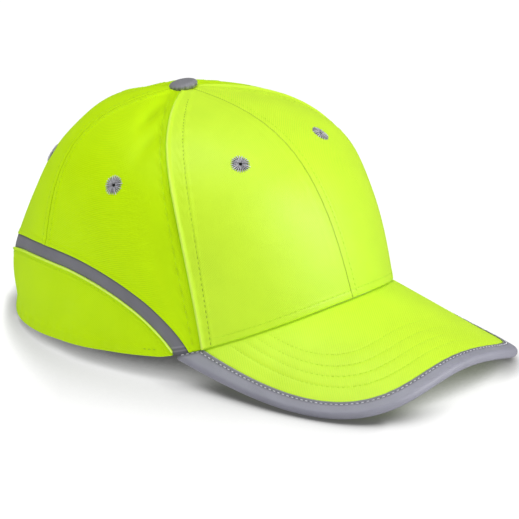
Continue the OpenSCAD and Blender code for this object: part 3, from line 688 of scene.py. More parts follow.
def steel(name, colour):
    """Stamped steel with fine upright brushing, noise drawn out along the height."""
    mat, tree, shader = new_material(name, colour, 0.36, 0.5, metallic=0.5)
    brush = noise(tree, coords(tree, "Object", (5200, 5200, 260)), 1.0, 3.0)
    raised(tree, shader, brush, 0.00003, 0.5)
    tree.links.new(toned(tree, brush, colour, (0.3, 0.82), (0.7, 1.1)), shader.inputs["Base Color"])
    return mat


# Glow on the yellow cloths and threads is painted light: an even emission in their colour that stands in for
# fluorescence and lifts their shade.
# The third yellow is the colour of the painted highlights on the yellow twills.
YELLOW, HIGHLIT_YELLOW, HIGHLIGHT_YELLOW = (0.575, 0.90, 0.002), (0.605, 0.90, 0.032), (0.85, 1.0, 0.30)
HI_VIS = twill("hi_vis_twill", YELLOW, glow=0.16, specular=0.10, pale=HIGHLIGHT_YELLOW)
# The fused twill's paler yellow is a painted highlight: it paints the key light's whitish sheen on the front panels and
# visor covers.
FUSED_HIGHLIT = twill("fused_highlit_twill", HIGHLIT_YELLOW, glow=0.16, depth=0.00005, pale=HIGHLIGHT_YELLOW)
HI_VIS_LINING = twill("hi_vis_lining", tinted(YELLOW, 0.92), glow=0.10, period=0.6)
STRAP_CLOTH = twill("strap_twill", YELLOW, glow=0.14, period=0.8)
YELLOW_THREAD = thread_finish("yellow_thread", tinted(YELLOW, 0.88), glow=0.12)
# The darker thread is painted shade on the rows it sews.
SHADED_THREAD = thread_finish("shaded_thread", tinted(YELLOW, 0.55), glow=0.03)
PALE_THREAD = thread_finish("pale_thread", (0.78, 0.78, 0.84))
GREY_THREAD = thread_finish("grey_thread", (0.58, 0.58, 0.62))
GREY_CLOTH = twill("grey_cloth", (0.29, 0.29, 0.32), period=0.8)
TAPE_GREY = tape_finish("reflective_grey", (0.245, 0.243, 0.285))
BINDING_GREY = tape_finish("binding_grey", (0.35, 0.35, 0.42))
STIFFENER = twill("stiffener_mesh", (0.80, 0.80, 0.74), period=1.3)
TERRY = foam("sweatband_terry", (0.035, 0.037, 0.04))
FOAM = foam("black_foam", (0.022, 0.022, 0.024))
SHELL_PLASTIC = moulded("shell_plastic", (0.022, 0.023, 0.026))
BOARD_PLASTIC = moulded("board_plastic", (0.80, 0.80, 0.77))
STEEL = steel("buckle_steel", (0.62, 0.63, 0.65))


# Sewn crown

# Distances of the stitch rows from the seams and from the lower edge in front, over the tape and over the back opening
MIDDLE_ROW, REAR_ROW, BACK_ROW = 3.7, 3.2, 3.0
FRONT_HEM, TAPE_HEM, ARCH_HEM = 4.0, 2.0, 3.2
ARCH_FROM = 150.0
# Lower panel: rows under the tape and over the rim
FOLD_ROW, RIM_ROW = 2.4, 3.6

# Soft dents and swells of the crown: angle, height, depth, length along and across, and the turn of the long axis
DENTS = (
    (-72.0, 105.0, -1.2, 15.0, 5.0, 80.0), (-80.0, 112.3, -1.7, 13.0, 4.0, 105.0),
    (-100.0, 80.0, -0.7, 26.0, 9.0, 60.0), (-66.0, 60.0, -0.8, 26.0, 6.0, 80.0),
    (-118.0, 62.0, 0.6, 20.0, 12.0, 80.0), (-20.0, 66.0, -0.4, 26.0, 16.0, 60.0),
    (25.0, 66.0, 0.4, 24.0, 16.0, 110.0), (70.0, 70.0, -0.7, 26.0, 9.0, 100.0),
    (100.0, 84.0, -0.7, 22.0, 8.0, 60.0), (150.0, 80.0, -0.6, 20.0, 10.0, 90.0),
    (49.0, 89.0, 1.6, 18.0, 15.0, 60.0), (108.0, 111.0, -1.7, 18.0, 9.0, 0.0),
    (168.0, 111.5, -1.2, 13.0, 8.0, 0.0), (-157.0, 105.0, 1.5, 24.0, 11.0, 0.0),
    (-142.0, 67.0, -1.3, 15.0, 10.0, 90.0), (-143.0, 29.0, 2.1, 15.0, 14.0, 0.0),
    (143.0, 29.0, 1.6, 15.0, 14.0, 0.0), (-142.0, 7.0, -1.5, 16.0, 7.0, 0.0),
    (142.0, 7.0, -1.2, 16.0, 7.0, 0.0), (-104.0, 18.0, -0.6, 30.0, 6.0, 8.0),
)


def rolled(d, radius=0.8, drop=0.62):
    """How far a turned edge drops away within its radius, a quarter circle."""
    return -drop * (1 - np.sqrt(1 - np.clip((radius - d) / radius, 0, 1) ** 2))


def mark(d, at, width):
    """Narrow bell round a distance, as along a stitch line."""
    return np.exp(-((d - at) / width) ** 2)


def plateau(d, reach, soft=1.8):
    """1 within the reach, easing to 0."""
    return 1 - smooth((np.abs(d) - reach) / soft)


def dents(angle, climb):
    """Sum of long soft dents, each a bell in its own direction on the crown."""
    p, total = crown(angle, climb), 0.0
    for turn, height, deep, long, wide, lie in DENTS:
        at = climb_at(turn, height)
        east, north, _ = crown_axes(turn, at)
        away = p - crown(turn, at)
        e, h = away @ east, away @ north
        c, s = math.cos(math.radians(lie)), math.sin(math.radians(lie))
        total = total + deep * np.exp(-((e * c + h * s) / long) ** 2 - ((h * c - e * s) / wide) ** 2)
    return total


def dented_inside(angle, climb):
    """Height of the inner face of the cloth, which follows the dents that go inwards."""
    return np.minimum(dents(angle, climb), 0) - FABRIC


def seam_distances(angle, climb):
    """Distances in millimetres from the middle, front, rear and back seam; the first three change sign at the seam."""
    turn, speed = np.abs(angle), crown_speed(angle, climb)
    return ((angle - seam_at(MIDDLE_SEAM, climb)) * speed, (turn - seam_at(FRONT_SEAM, climb)) * speed,
            (turn - seam_at(REAR_SEAM, climb)) * speed, (180 - turn) * speed)


def welt_row(climb):
    """Distance of the stitch row in front of the welt, which widens halfway up by a sine."""
    return 5.0 + 3.9 * np.sin(np.pi * np.clip(climb, 0, 1) ** 1.25)


def welt_groove(climb):
    """Distance of the sewn groove behind the welt, which wanders by a sine."""
    return 3.6 + 0.9 * np.sin(7 * climb)


def crown_relief(angle, climb):
    """Height of the sewn cloth over the plain crown, and its painted shade. The height is a sum of padded seams, the
    welt with its groove, dips along the stitches, puckers, the hem, slow waves, dents and turned edges; the shade is
    painted shade in creases, hollows, grooves, along the lower edge and in deep dents, and a painted highlight on the
    welt's ridge."""
    angle, climb = np.broadcast_arrays(np.asarray(angle, float), np.asarray(climb, float))
    turn = np.abs(angle)
    middle, front, rear, back = seam_distances(angle, climb)
    ahead, row, groove = -front, welt_row(climb), welt_groove(climb)
    foot = length(crown(angle, climb) - crown(angle, climb_at(angle, upper_foot(angle))))
    fade = smooth((0.95 - climb) / 0.12)
    in_front = turn < FRONT_SEAM[0] + 3
    ripple = np.sin(2 * np.pi * foot / 6.7 + 1.3 * np.sin(foot / 11.0) + turn * 0.05)

    full = 0.30 * np.maximum(plateau(rear, REAR_ROW), plateau(back, REAR_ROW))
    full = np.maximum(0.12 * plateau(middle, 3.6, 3.0), full)
    roll = 0.32 * plateau(ahead, row, 2.6) + 0.95 * mark(ahead, 0.9, 1.25) + rolled(ahead, 1.1, 1.1)
    welt = np.where(front < 0, roll, 0.25 * plateau(front, groove + 0.4, 1.5)) * smooth((1.0 - climb) / 0.06)

    sewn, tucked = mark(ahead, row, 0.5), mark(front, groove, 0.9)
    rows = np.maximum(mark(np.abs(rear), REAR_ROW, 0.4), mark(back, BACK_ROW, 0.4))
    rows = np.maximum(mark(middle, MIDDLE_ROW, 0.4), rows)
    dip = (0.20 * sewn + (0.26 + 0.14 * ripple) * tucked + 0.12 * rows) * fade
    drawn = (0.13 * mark(ahead, row, 3.2) + 0.16 * mark(front, groove, 2.6)
             + 0.06 * mark(rear, 0, 3.5) + 0.05 * mark(middle, 0, 3.5))

    hem_at = np.where(in_front, FRONT_HEM, np.where(turn > ARCH_FROM, ARCH_HEM, TAPE_HEM))
    hem = np.where(in_front, 0.15, 0.3) * plateau(foot, hem_at + 0.2, 1.4) - 0.18 * mark(foot, hem_at, 0.5)
    waves = 0.16 * np.sin(angle / 9.0 + 6 * climb) * np.sin(8.5 * climb + angle / 23.0)
    edge = np.minimum(np.minimum(np.abs(middle), back), np.where(front < 0, 9, front))
    edge = np.minimum(edge, np.minimum(np.abs(rear), foot))
    turned_front = np.minimum(rolled(np.abs(middle), 0.35, 0.25), rolled(foot, 0.9, 0.75))
    turned = np.where(in_front, turned_front, rolled(edge))
    bent = dents(angle, climb)
    lift = full + welt - dip + ripple * fade * drawn + hem + waves + bent + turned

    # Painted shade in the seam creases, the hollow beside the welt, the stitch rows and groove, along the lower edge,
    # at the hem row and in deep dents; painted highlight on the welt's ridge
    crease = np.maximum(mark(middle, 0, 0.34), mark(np.minimum(np.abs(rear), back), 0, 0.30))
    deep = 0.6 + 1.1 * mark(climb, 0.36, 0.14)
    valley = np.where(front >= 0, 0.20 * deep * mark(front, 0, 2.4) + 0.14 * mark(front, 0, 0.5), 0)
    ridge = np.where(front < 0, mark(ahead, 0.8, 0.6), 0)
    stitched = 0.07 * sewn + (0.10 + 0.10 * ripple) * tucked + 0.04 * rows
    shade = 0.55 * crease + (valley - 0.34 * ridge + stitched) * fade
    shade = shade + np.where(in_front, 0.45, 0.25) * mark(foot, 0, 0.25) + 0.08 * mark(foot, hem_at, 0.4)
    return lift, shade + 0.22 * np.maximum(-bent - 0.9, 0)


def crown_lift(angle, climb):
    """Height of the sewn cloth over the plain crown."""
    return crown_relief(angle, climb)[0]


def eyelet_frame(angle, height):
    """Centre of an eyelet on the sewn crown, and its axes."""
    climb = climb_at(angle, height)
    return laid(angle, climb, crown_lift(angle, climb)), crown_axes(angle, climb)


EYELET_FRAMES = [eyelet_frame(*place) for place in EYELETS]


def clear_of_eyelets(points, radius):
    """Cells of a grid of points whose middles lie further than a radius from every eyelet."""
    middle = (points[1:, 1:] + points[:-1, :-1]) / 2
    return np.min([length(middle - centre) for centre, _ in EYELET_FRAMES], axis=0) > radius


def upper_panel(name, from_seam, to_seam, columns=150, rows=150):
    """One crown panel: a grid between two seams from the lower edge to the button, open under its eyelet."""
    share = gathered(columns)
    start = seam_foot(from_seam)
    foot = start + (seam_foot(to_seam) - start) * share
    head, bow = (from_seam[k] + (to_seam[k] - from_seam[k]) * share for k in (1, 2))
    low = climb_at(foot, upper_foot(foot))
    climb = low + (0.985 - low) * gathered(rows, 0.6)[:, None]
    seam_gap = 0.02 * np.linspace(1, -1, columns + 1)
    angle = between_seams(foot, head, bow, low, climb) + seam_gap
    lift, shade = crown_relief(angle, climb)
    cloth = FUSED_HIGHLIT if MIDDLE_SEAM in (from_seam, to_seam) else HI_VIS
    crown_sheet("twill_" + name, angle, climb, lift, dented_inside(angle, climb), cloth, shade=shade,
                keep=clear_of_eyelets(laid(angle, climb, lift), 2.3), slot="hi_vis_fabric", node=name)


def lower_face(side, columns=220, rows=70):
    """Lower panel from the visor corner to the back opening: angles, climbs, height and painted shade and highlight of
    the outer face, and distances from the tape and from the rim. The height is a sum of the raised fold along the tape,
    stitch dips, hems, ripples, dents and turned edges."""
    t = gathered(rows, 0.6)[:, None]
    first = VISOR_CORNER + 0.6
    top = float(tape_foot(np.array(ARCH_CORNER + 3.0)) - rim_plane(ARCH_CORNER + 3.0))
    angle = first + (arch_angle(top * t) - first) * gathered(columns, 0.6)
    low = rim_z(angle)
    high = np.maximum(tape_foot(angle) + 0.3, low + 0.5)
    turn, angle = angle, angle * side
    climb = climb_at(angle, low + (high - low) * t)
    base = crown(angle, climb)
    above, below, end = (length(base - line) for line in (base[-1:], base[:1], base[:, -1:]))
    fold = 0.60 * plateau(above, 0.8, 0.6) + 0.2 * plateau(above, 2.8, 1.2) - 0.16 * mark(above, FOLD_ROW + 0.1, 0.5)
    hem = 0.25 * plateau(below, 4.2, 2.5)
    back_hem = 0.25 * plateau(end, 3.4, 1.5) - 0.3 * mark(end, 3.2, 0.5)
    ripple = 0.10 * np.sin(turn * 1.6 / 6.5 * 2 * np.pi + np.sin(angle / 7)) * mark(below, 4, 4)
    turned = rolled(np.minimum(np.minimum(above, below), end))
    lift = fold + hem + back_hem + ripple + dents(angle, climb) + turned
    # Painted shade along the fold's stitch row; painted highlight along the fold's top, stronger towards the front
    fold_highlight = (0.20 + 0.55 * smooth((140 - turn) / 45)) * mark(above, 0.35, 0.30)
    shade = 0.16 * mark(above, 1.7, 0.35) - fold_highlight
    return angle, climb, lift, shade, above, below


def lower_panel(name, side):
    """The panel under the tape, a grid from rim to tape."""
    angle, climb, lift, shade, _, _ = lower_face(side)
    crown_sheet("twill_" + name, angle, climb, lift, dented_inside(angle, climb), HI_VIS, shade=shade,
                slot="hi_vis_fabric", node=name)


def reflective_tape(name, side, columns=320, rows=34):
    """The tape between upper and lower panel: a grid tucked under both edges, with a slight crown and ripple, painted
    shadow under the edges, and two paler lines with a darker band between across its end at the visor."""
    t = np.linspace(0, 1, rows + 1)[:, None]
    first = TAPE_START + 0.8
    top = float(tape_height(np.array(ARCH_CORNER)))
    angle = first + (arch_angle(top - TAPE_WIDTH * (1 - t)) - first) * np.linspace(0, 1, columns + 1)
    tuck = 0.9
    high = rim_plane(angle) + tape_height(angle) + tuck
    low = np.maximum(np.minimum(tape_foot(angle) - tuck, high - 0.5), rim_z(angle))
    climb = climb_at(angle, low + (high - low) * t)
    base = crown(angle * side, climb)
    bend = dents(angle * side, climb)
    lift = bend - 0.30 + 0.10 * np.sin(np.pi * t) + 0.05 * np.sin(angle / 2.1)
    over, under = (length(base - line) for line in (base[-1:], base[:1]))
    up = base[..., 2] - rim_z(angle)
    # Painted shadow under the upper panel's edge and along the lower edge; across the end at the visor, two paler lines
    # with a darker band between
    end_lines = 0.55 * (mark(up, 1.6, 0.35) + mark(up, 3.6, 0.35)) - 0.3 * mark(up, 2.6, 0.5)
    shade = 0.75 * mark(np.maximum(over - 1.4, 0), 0, 0.55) + 0.45 * mark(np.maximum(under - 1.3, 0), 0, 0.4)
    shade = shade - end_lines * smooth((TAPE_START + 8 - angle) / 2)
    crown_sheet("woven_" + name, angle * side, climb, lift, bend - 0.75, TAPE_GREY, shade=shade,
                slot="reflective_tape", node=name)


def crown_threads():
    """Stitch rows of the crown, each at its distance from a seam or an edge: along the seams, over the visor, along
    tape and back opening. The right welt's row and the rim's rows take a darker thread, a painted shade."""
    rows, welt = [], []
    t = np.linspace(0, 1, 160)

    def run(angle, climb, out=rows, **size):
        """Adds a row that lies on the sewn crown."""
        points = laid(angle, climb, crown_lift(angle, climb))
        out.append(thread_row(points, crown_normal(angle, climb), **size))

    def along(seam, first):
        """Angles, climbs and millimetres per degree up a seam, from a height over its foot."""
        foot = seam_foot(seam)
        low = float(climb_at(foot, upper_foot(np.array(foot)) + first))
        climb = low + (0.925 - low) * t
        angle = seam_at(seam, climb)
        return angle, climb, crown_speed(angle, climb)

    angle, climb, speed = along(MIDDLE_SEAM, 2.0)
    run(angle + MIDDLE_ROW / speed, climb)
    for sign in (1, -1):
        angle, climb, speed = along(FRONT_SEAM, 1.5)
        run(sign * (angle - welt_row(climb) / speed), climb, welt if sign < 0 else rows, radius=0.17)
        run(sign * (angle + welt_groove(climb) / speed), climb)
        angle, climb, speed = along(REAR_SEAM, 1.5)
        for way in (-REAR_ROW, REAR_ROW):
            run(sign * (angle + way / speed), climb)
        angle, climb, speed = along(BACK_SEAM, 2.5)
        run(sign * (angle - BACK_ROW / speed), climb)
        angle = np.linspace(1.5, seam_foot(FRONT_SEAM) - 4.2, 160)
        run(sign * angle, climb_at(angle, rim_z(angle) + FRONT_HEM - 0.1))
        angle = np.linspace(ARCH_FROM + 1, 179, 120)
        steep = np.cos(np.radians(55 * smooth((170 - angle) / 20)))
        run(sign * angle, climb_at(angle, upper_foot(angle) + ARCH_HEM / steep))
        angle, climb, lift, _, above, below = lower_face(sign)
        face, normal = laid(angle, climb, lift), crown_normal(angle, climb)
        columns = np.arange(face.shape[1])
        for field, at, part, out in ((above, FOLD_ROW, slice(30, -8), rows), (below, RIM_ROW, slice(24, 42), welt)):
            pick = np.abs(field - at).argmin(0)
            out.append(thread_row(face[pick, columns][part], normal[pick, columns][part]))
    make("crown_stitching", *joined(rows), YELLOW_THREAD, slot="hi_vis_fabric")
    make("welt_stitching", *joined(welt), SHADED_THREAD, slot="hi_vis_fabric")


def eyelet(centre, axes, seed, threads=23):
    """Sewn eyelet: a low ring section carried round, with a round ridge for each thread and a toothed outer edge."""
    hole, reach, notch, steps_each = 0.85, 4.9, 1.7, 8
    steps = threads * steps_each
    pick = np.random.default_rng(seed)
    turn = full_turn(steps)
    ridge = np.abs(np.sin(turn * threads / 2)) ** 1.25
    uneven = (pick.random(threads) - 0.5)[np.arange(steps) // steps_each]
    edge = reach + 0.45 * uneven - notch * (1 - ridge)
    s = np.linspace(0, 1, 15)[:, None]
    r = hole + (edge - hole) * s
    swell = 0.30 * np.sin(np.pi * (0.12 + 0.80 * s)) ** 0.8
    h = 0.02 + swell + (0.38 * ridge + 0.12 * uneven) * np.sin(np.pi * np.clip(s + 0.12, 0, 1))
    flat = np.ones(steps)
    r = np.concatenate([r, [edge - 0.5, 1.2 * flat]])
    h = np.concatenate([h, [-0.5 * flat, -1.5 * flat]])
    # Painted shade in the grooves between threads, at the hole and on the walls down into the cloth; painted highlight
    # on the thread ridges; each thread's tone also differs at random
    shade = (1.5 + 2.0 * s ** 2) * (1 - ridge) ** 0.7 - 1.1 * uneven * ridge - 0.60 * ridge + 0.35 * mark(s, 0, 0.15)
    shade = np.concatenate([shade, [0.6 * flat, 0.6 * flat]])
    p = turned_about(centre, axes, r, h, turn)
    return p.reshape(-1, 3), grid_faces(len(r), steps, wrap_rows=True, wrap_columns=True), shade.ravel()


def eyelets():
    """The six sewn eyelets, each with its own uneven threads."""
    parts = [eyelet(*at, 31 + k) for k, at in enumerate(EYELET_FRAMES)]
    shade = np.concatenate([part[2] for part in parts])
    make("sewn_eyelets", *joined([part[:2] for part in parts]), GREY_THREAD, shade=shade, slot="grey_thread",
         node="eyelets")


def button():
    """Covered button: a low dome turned about its axis, with the gathers of its cover at the rim. Its section is a
    squared ellipse with a steep side, and the whole leans towards one side."""
    radius, middle, over, under, steps = 6.95, 1.30, 1.65, 1.60, 120
    lean, lean_side = math.radians(10.0), np.array([0.665, -0.747, 0.0])
    turn = full_turn(steps)
    a = np.pi * (0.02 + 0.90 * np.linspace(0, 1, 40)[:, None])
    upper = a < np.pi / 2
    gather = 0.10 * np.sin(15 * turn + 1.5 * np.sin(2 * turn)) + 0.06 * np.sin(23 * turn)
    gather = smooth((a - 0.7) / 0.8) * gather
    r = radius * np.sin(a) ** np.where(upper, 0.45, 0.13) + gather
    z = middle + np.where(upper, over, under) * np.cos(a) + 0 * turn
    grid = np.stack([r * np.cos(turn), r * np.sin(turn), z], -1)
    poles = np.zeros((2, steps, 3))
    poles[..., 2] = [[middle + over], [-0.25]]
    grid = np.concatenate([poles[:1], grid, poles[1:]])
    uv = grid[..., :2].reshape(-1, 2)
    along, high = grid @ lean_side, grid[..., 2]
    moved = grid + (along * (math.cos(lean) - 1) - high * math.sin(lean))[..., None] * lean_side
    moved[..., 2] = high * math.cos(lean) + along * math.sin(lean)
    # Painted shade on the lower side, the underside and in the hollows of the gathers; painted highlight on the
    # gathers' ridges
    shade = 0.30 * smooth((a - 1.2) / 0.9) - 2.6 * gather
    shade = np.concatenate([np.zeros((1, steps)), shade, np.full((1, steps), 0.3)])
    make("covered_button", (moved + [0, SETBACK, TOP - 0.2]).reshape(-1, 3),
         grid_faces(len(grid), steps, wrap_columns=True), GREY_CLOTH, uv=uv, shade=shade.ravel(), slot="grey_thread",
         node="top_button")


# Visor

VISOR_ROWS = (17.5, 24.5, 31.5, 39.5)       # distances from the outer edge
BINDING_PROUD = 0.75                        # height over the covers
BINDING_ROW = 1.6                           # distance of its stitches from its inner edge


def visor_face(name, depth, node, sign):
    """Cover of the visor: a grid from crown seam to bound edge, with dips along its sewn rows, swells between them,
    slow waves, and painted shade along the rows, at the crown seam and by the binding. The rows' dips and swells fade
    out on the wearer's left, where the cover is pressed flat, and their painted shade fades with them."""
    part = VISOR_END * (2 * gathered(200, 0.4) - 1)
    deep = visor_depth(part)
    first = 1.9
    inset = first + (deep + 0.9 - first) * gathered(230, 0.4)[:, None]
    away = deep - inset
    row_share = 0.25 + 0.75 * smooth((0.18 - part) / 0.3)
    dip = row_share * sum(0.22 * mark(inset, at, 0.45) for at in VISOR_ROWS)
    swell = 0.10 * row_share * np.sin(np.pi * np.clip((inset - VISOR_ROWS[0]) / 7.2, 0, 3)) ** 2
    wave = 0.12 * np.sin(part * 9 + inset / 17) * np.sin(inset / 13 + 2 * part)
    lift = (swell - dip + wave) * smooth((inset - 9) / 3) * smooth(away / 3) - 0.10 * smooth((0.9 - away) / 0.9)
    # Painted shade along the sewn rows, at the crown seam and by the binding's inner edge
    shade = (row_share * sum(0.12 * mark(inset, at, 0.30) for at in VISOR_ROWS)
             + 0.25 * mark(np.maximum(away, 0), 0, 0.25) + 0.5 * mark(np.maximum(inset - BINDING, 0), 0, 0.5))
    top, normal = visor(part, inset, depth)
    base, _ = visor(part, inset, depth + sign * COVER)
    sheet(name, top + normal * (sign * lift)[..., None], base, FUSED_HIGHLIT, uv=top[..., :2], shade=shade,
          slot="hi_vis_fabric", node=node)


def binding_reach(part):
    """Width of the binding, which narrows where the visor runs out at its corners."""
    return np.clip(visor_depth(part) + 1.2, 2.6, BINDING)


def visor_binding():
    """Binding: a folded tape, legs on both faces and a round nose, carried along the outer edge."""
    part = VISOR_END * np.linspace(-1, 1, 401)
    reach = binding_reach(part)
    wall, nose = 0.6, 2.2
    half = (VISOR_BOTTOM - VISOR_LIFT) / 2 + BINDING_PROUD
    middle = (VISOR_BOTTOM + VISOR_LIFT) / 2
    swing = np.linspace(-np.pi / 2, np.pi / 2, 19)[:, None]
    leg = np.linspace(1, 0, 12)[:-1, None]

    def section(shrink, ease):
        """Insets and depths round the fold: upper leg, half an ellipse, lower leg."""
        front = np.stack([nose - (nose - shrink) * np.cos(swing), middle + (half - shrink) * np.sin(swing)], -1)
        front = np.broadcast_to(front, (len(swing), len(part), 2))
        inset = nose + (reach - nose) * leg
        off = half - shrink - ease * smooth((inset - reach + 1.2) / 1.2)
        return np.concatenate([np.stack([inset, middle - off], -1), front, np.stack([inset, middle + off], -1)[::-1]])

    outer, inner = section(0.0, 0.28), section(wall, 0.0)
    inset, depth = outer[..., 0], outer[..., 1]
    dip = 0.16 * mark(inset, reach - BINDING_ROW, 0.45) + 0.05 * np.sin(part * 150) * smooth((inset - 3) / 3)
    depth = depth + dip * np.sign(middle - depth)
    from_edge = np.maximum(reach - inset, 0)
    # Painted shade along the inner edge, the stitch row and beside it, and on the lower half of the fold; a faint
    # painted highlight towards the nose
    sewn = 0.65 * mark(from_edge, 0.7, 0.4) + 0.75 * mark(from_edge, BINDING_ROW, 0.4)
    sewn = sewn + 0.35 * mark(from_edge, 2.3, 0.35)
    shade = sewn - 0.02 * smooth((nose + 1.8 - inset) / 1.8) + 0.45 * smooth((depth - middle) / half)
    face, _ = visor(part, inset, depth)
    back, _ = visor(part, inner[..., 0], inner[..., 1])
    sheet("bound_edge", face, back, BINDING_GREY, uv=cloth_uv(face), shade=shade, slot="binding_tape",
          node="visor_binding")


def rows_on_both_faces(part, inset, over, sunk, **size):
    """Two rows of stitches at an inset from the visor's edge, at a height over each cover and a little sunk in."""
    rows = []
    for depth, way in ((VISOR_LIFT - over, 1), (VISOR_BOTTOM + over, -1)):
        p, n = visor(part, inset, depth)
        rows.append(thread_row(p - n * way * sunk, n * way, **size))
    return rows


def visor_threads():
    """Sewn rows on the visor, parallel to its edge, and the rows that hold the binding."""
    rows = []
    for at in VISOR_ROWS:
        part = np.linspace(-VISOR_END, VISOR_END, 500)
        rows += rows_on_both_faces(part[visor_depth(part) > at + 1.0], at, 0.0, 0.24, radius=0.13)
    make("visor_stitching", *joined(rows), YELLOW_THREAD, slot="hi_vis_fabric")
    part = np.linspace(-VISOR_END + 0.01, VISOR_END - 0.01, 500)
    rows = rows_on_both_faces(part, binding_reach(part) - BINDING_ROW, BINDING_PROUD, 0.16, pitch=2.5, stitch=1.7,
                              radius=0.22, proud=0.12)
    make("binding_stitching", *joined(rows), PALE_THREAD, slot="binding_tape")


# Inside of the cap

PAD_THICK, PAD_GROOVE, PAD_GAP = 5.0, 1.3, 0.25
# Foam pads: node, middle and spread to each side, angle and height over the rim of the lower edge, climb of the upper one
PADS = (("front_pad", 0, 40, 0, 38, 0.66), ("side_pad_left", 87, 34, 85, 38, 0.60),
        ("side_pad_right", -87, 34, 85, 38, 0.60), ("rear_pad", 180, 42, 180, ARCH_HEIGHT + 17, 0.72))
# Hook and loop dots: angle and height
DOTS = ((72, 72), (-72, 72), (124, 80), (-124, 80))


def lining(angle, climb, depth, thick):
    """Heights of the two faces of a lining at a depth under the crown, clear of dents."""
    top = np.minimum(dents(angle, climb), 0) - depth
    return top, top - thick


def stiffener(name, from_seam, to_seam):
    """Stiff mesh behind a front panel, a grid between the seam tapes, open round the eyelet."""
    count, margin = 50, 7
    foot = np.linspace(seam_foot(from_seam) + margin, seam_foot(to_seam) - margin, count)
    head = np.linspace(from_seam[1] + margin, to_seam[1] - margin, count)
    bow = np.linspace(from_seam[2], to_seam[2], count)
    low = climb_at(foot, upper_foot(foot))
    climb = low + (0.75 - low) * np.linspace(0, 1, count)[:, None]
    angle = between_seams(foot, head, bow, low, climb)
    crown_sheet("mesh_" + name, angle, climb, *lining(angle, climb, LINING, COVER), STIFFENER,
                keep=clear_of_eyelets(crown(angle, climb), 5.5), slot="stiffener", node=name)


def seam_tapes():
    """Six tapes on the inside of the seams, flat bands of even width."""
    parts = []
    for seam, low in ((MIDDLE_SEAM, 0.10), (FRONT_SEAM, 0.03), (mirrored(FRONT_SEAM), 0.03),
                      (REAR_SEAM, 0.24), (mirrored(REAR_SEAM), 0.24), (BACK_SEAM, 0.42)):
        climb = np.linspace(low, 0.925, 120)[:, None]
        line = seam_at(seam, climb)
        angle = line + np.linspace(-5, 5, 17) / crown_speed(line, climb)
        climb = np.broadcast_to(climb, angle.shape)
        parts.append(shell_of(*(laid(angle, climb, face) for face in lining(angle, climb, LINING, COVER))))
    verts, faces = joined(parts)
    make("inside_seam_tapes", verts, faces, HI_VIS_LINING, uv=verts[:, :2], slot="lining_fabric", node="seam_tapes")


def arch_facing():
    """Folded tape inside the edge of the back opening, between half ellipses that grow."""
    turn, grow = np.radians(np.linspace(38, 142, 140)), np.linspace(1, 9, 14)[:, None]
    angle = 180 - np.degrees(np.arcsin((ARCH_HALF + grow) * np.cos(turn) / HALF_WIDTH))
    climb = climb_at(angle, rim_plane(angle) + (ARCH_HEIGHT + grow) * np.sin(turn))
    crown_sheet("back_opening_facing", angle, climb, *lining(angle, climb, LINING + 0.1, 0.5), HI_VIS_LINING,
                slot="lining_fabric", node="arch_facing")


def sweatband():
    """Sweatband: a soft band over the lower edge of the shell, full at its folded top and puckered at its foot."""
    angle, t = np.broadcast_arrays(np.linspace(-131, 131, 420), np.linspace(0, 1, 46)[:, None])
    sink = np.interp(t, [0, 0.38, 0.55, 1], [2.4, 2.9, 5.4, 5.4])
    climb = climb_at(angle, rim_z(angle) + 1 + 33 * t)
    pucker = 0.12 * np.sin(angle * 1.9) * mark(t, 0.08, 0.06)
    full = 1.45 + 0.45 * mark(t, 0.96, 0.03) + pucker - 0.5 * smooth((t - 0.98) / 0.02)
    crown_sheet("soft_sweatband", angle, climb, -sink, -sink - full, TERRY, slot="sweatband_fabric", node="sweatband")


def impact_shell():
    """Vented shell: wide ribs and narrow strips by turns round the crown, with slots in the strips, in other rows on
    every second strip. Its foot rises over the back opening."""
    pairs, rows, wall = 22, 13, 2.0
    wide, narrow, rib_steps, strip_steps = 0.68, 0.32, 5, 3
    within = np.concatenate([narrow + wide * np.arange(rib_steps) / rib_steps,
                             1.0 + narrow * np.arange(strip_steps) / strip_steps])
    pair = np.repeat(np.arange(pairs), len(within))
    strip = np.tile(np.arange(len(within)) >= rib_steps, pairs)
    angle = (pair - pairs / 2 + wide / 2 + np.tile(within, pairs)) * 360 / pairs
    angle = (angle + 180) % 360 - 180
    front_foot, back_foot = 24, ARCH_HEIGHT + 14
    foot = rim_z(angle) + front_foot + (back_foot - front_foot) * smooth((np.abs(angle) - 112) / 36)
    low = climb_at(angle, foot)
    up = np.linspace(0, rows, rows * 4 + 1)
    climb = low + (0.955 - low) * up[:, None] / rows
    angle = np.broadcast_to(angle, climb.shape)
    row = np.floor((up[1:] + up[:-1]) / 2)[:, None]
    even = ((row > 1) & (row < 5)) | ((row > 7) & (row < 10))
    odd = (row > 4) & (row < 8)
    keep = ~(strip & np.where(pair % 2 == 0, even, odd))
    edge = 0.5 * plateau(up[:, None], 0, 0.5)
    crown_sheet("vented_shell", angle, climb, -SHELL - edge, 0.4 * edge - SHELL - wall, SHELL_PLASTIC, woven=False,
                keep=keep, closed=True, slot="shell_plastic", node="impact_shell")


def full_shape(s):
    """1 in the middle of a run from 0 to 1, falling to 0 at both ends by a third power."""
    return 1 - np.abs(2 * s - 1) ** 3


def foam_pad(name, angle, climb, body, groove, closed=False):
    """Foam on the shell: thickness by a body from 0 at the edges to 1 inside, less the moulded grooves."""
    thick = PAD_THICK * (0.30 + 0.70 * body) - PAD_GROOVE * groove
    face = -PAD - PAD_GAP
    obj = crown_sheet("foam_" + name, angle, climb, face, face - thick, FOAM, woven=False, closed=closed, slot="foam",
                      node=name)


def channels(along, count, width):
    """Evenly spaced lines across a run from 0 to 1, each a narrow bell."""
    return mark(np.abs((along * count) % 1 - 0.5), 0.5, width)


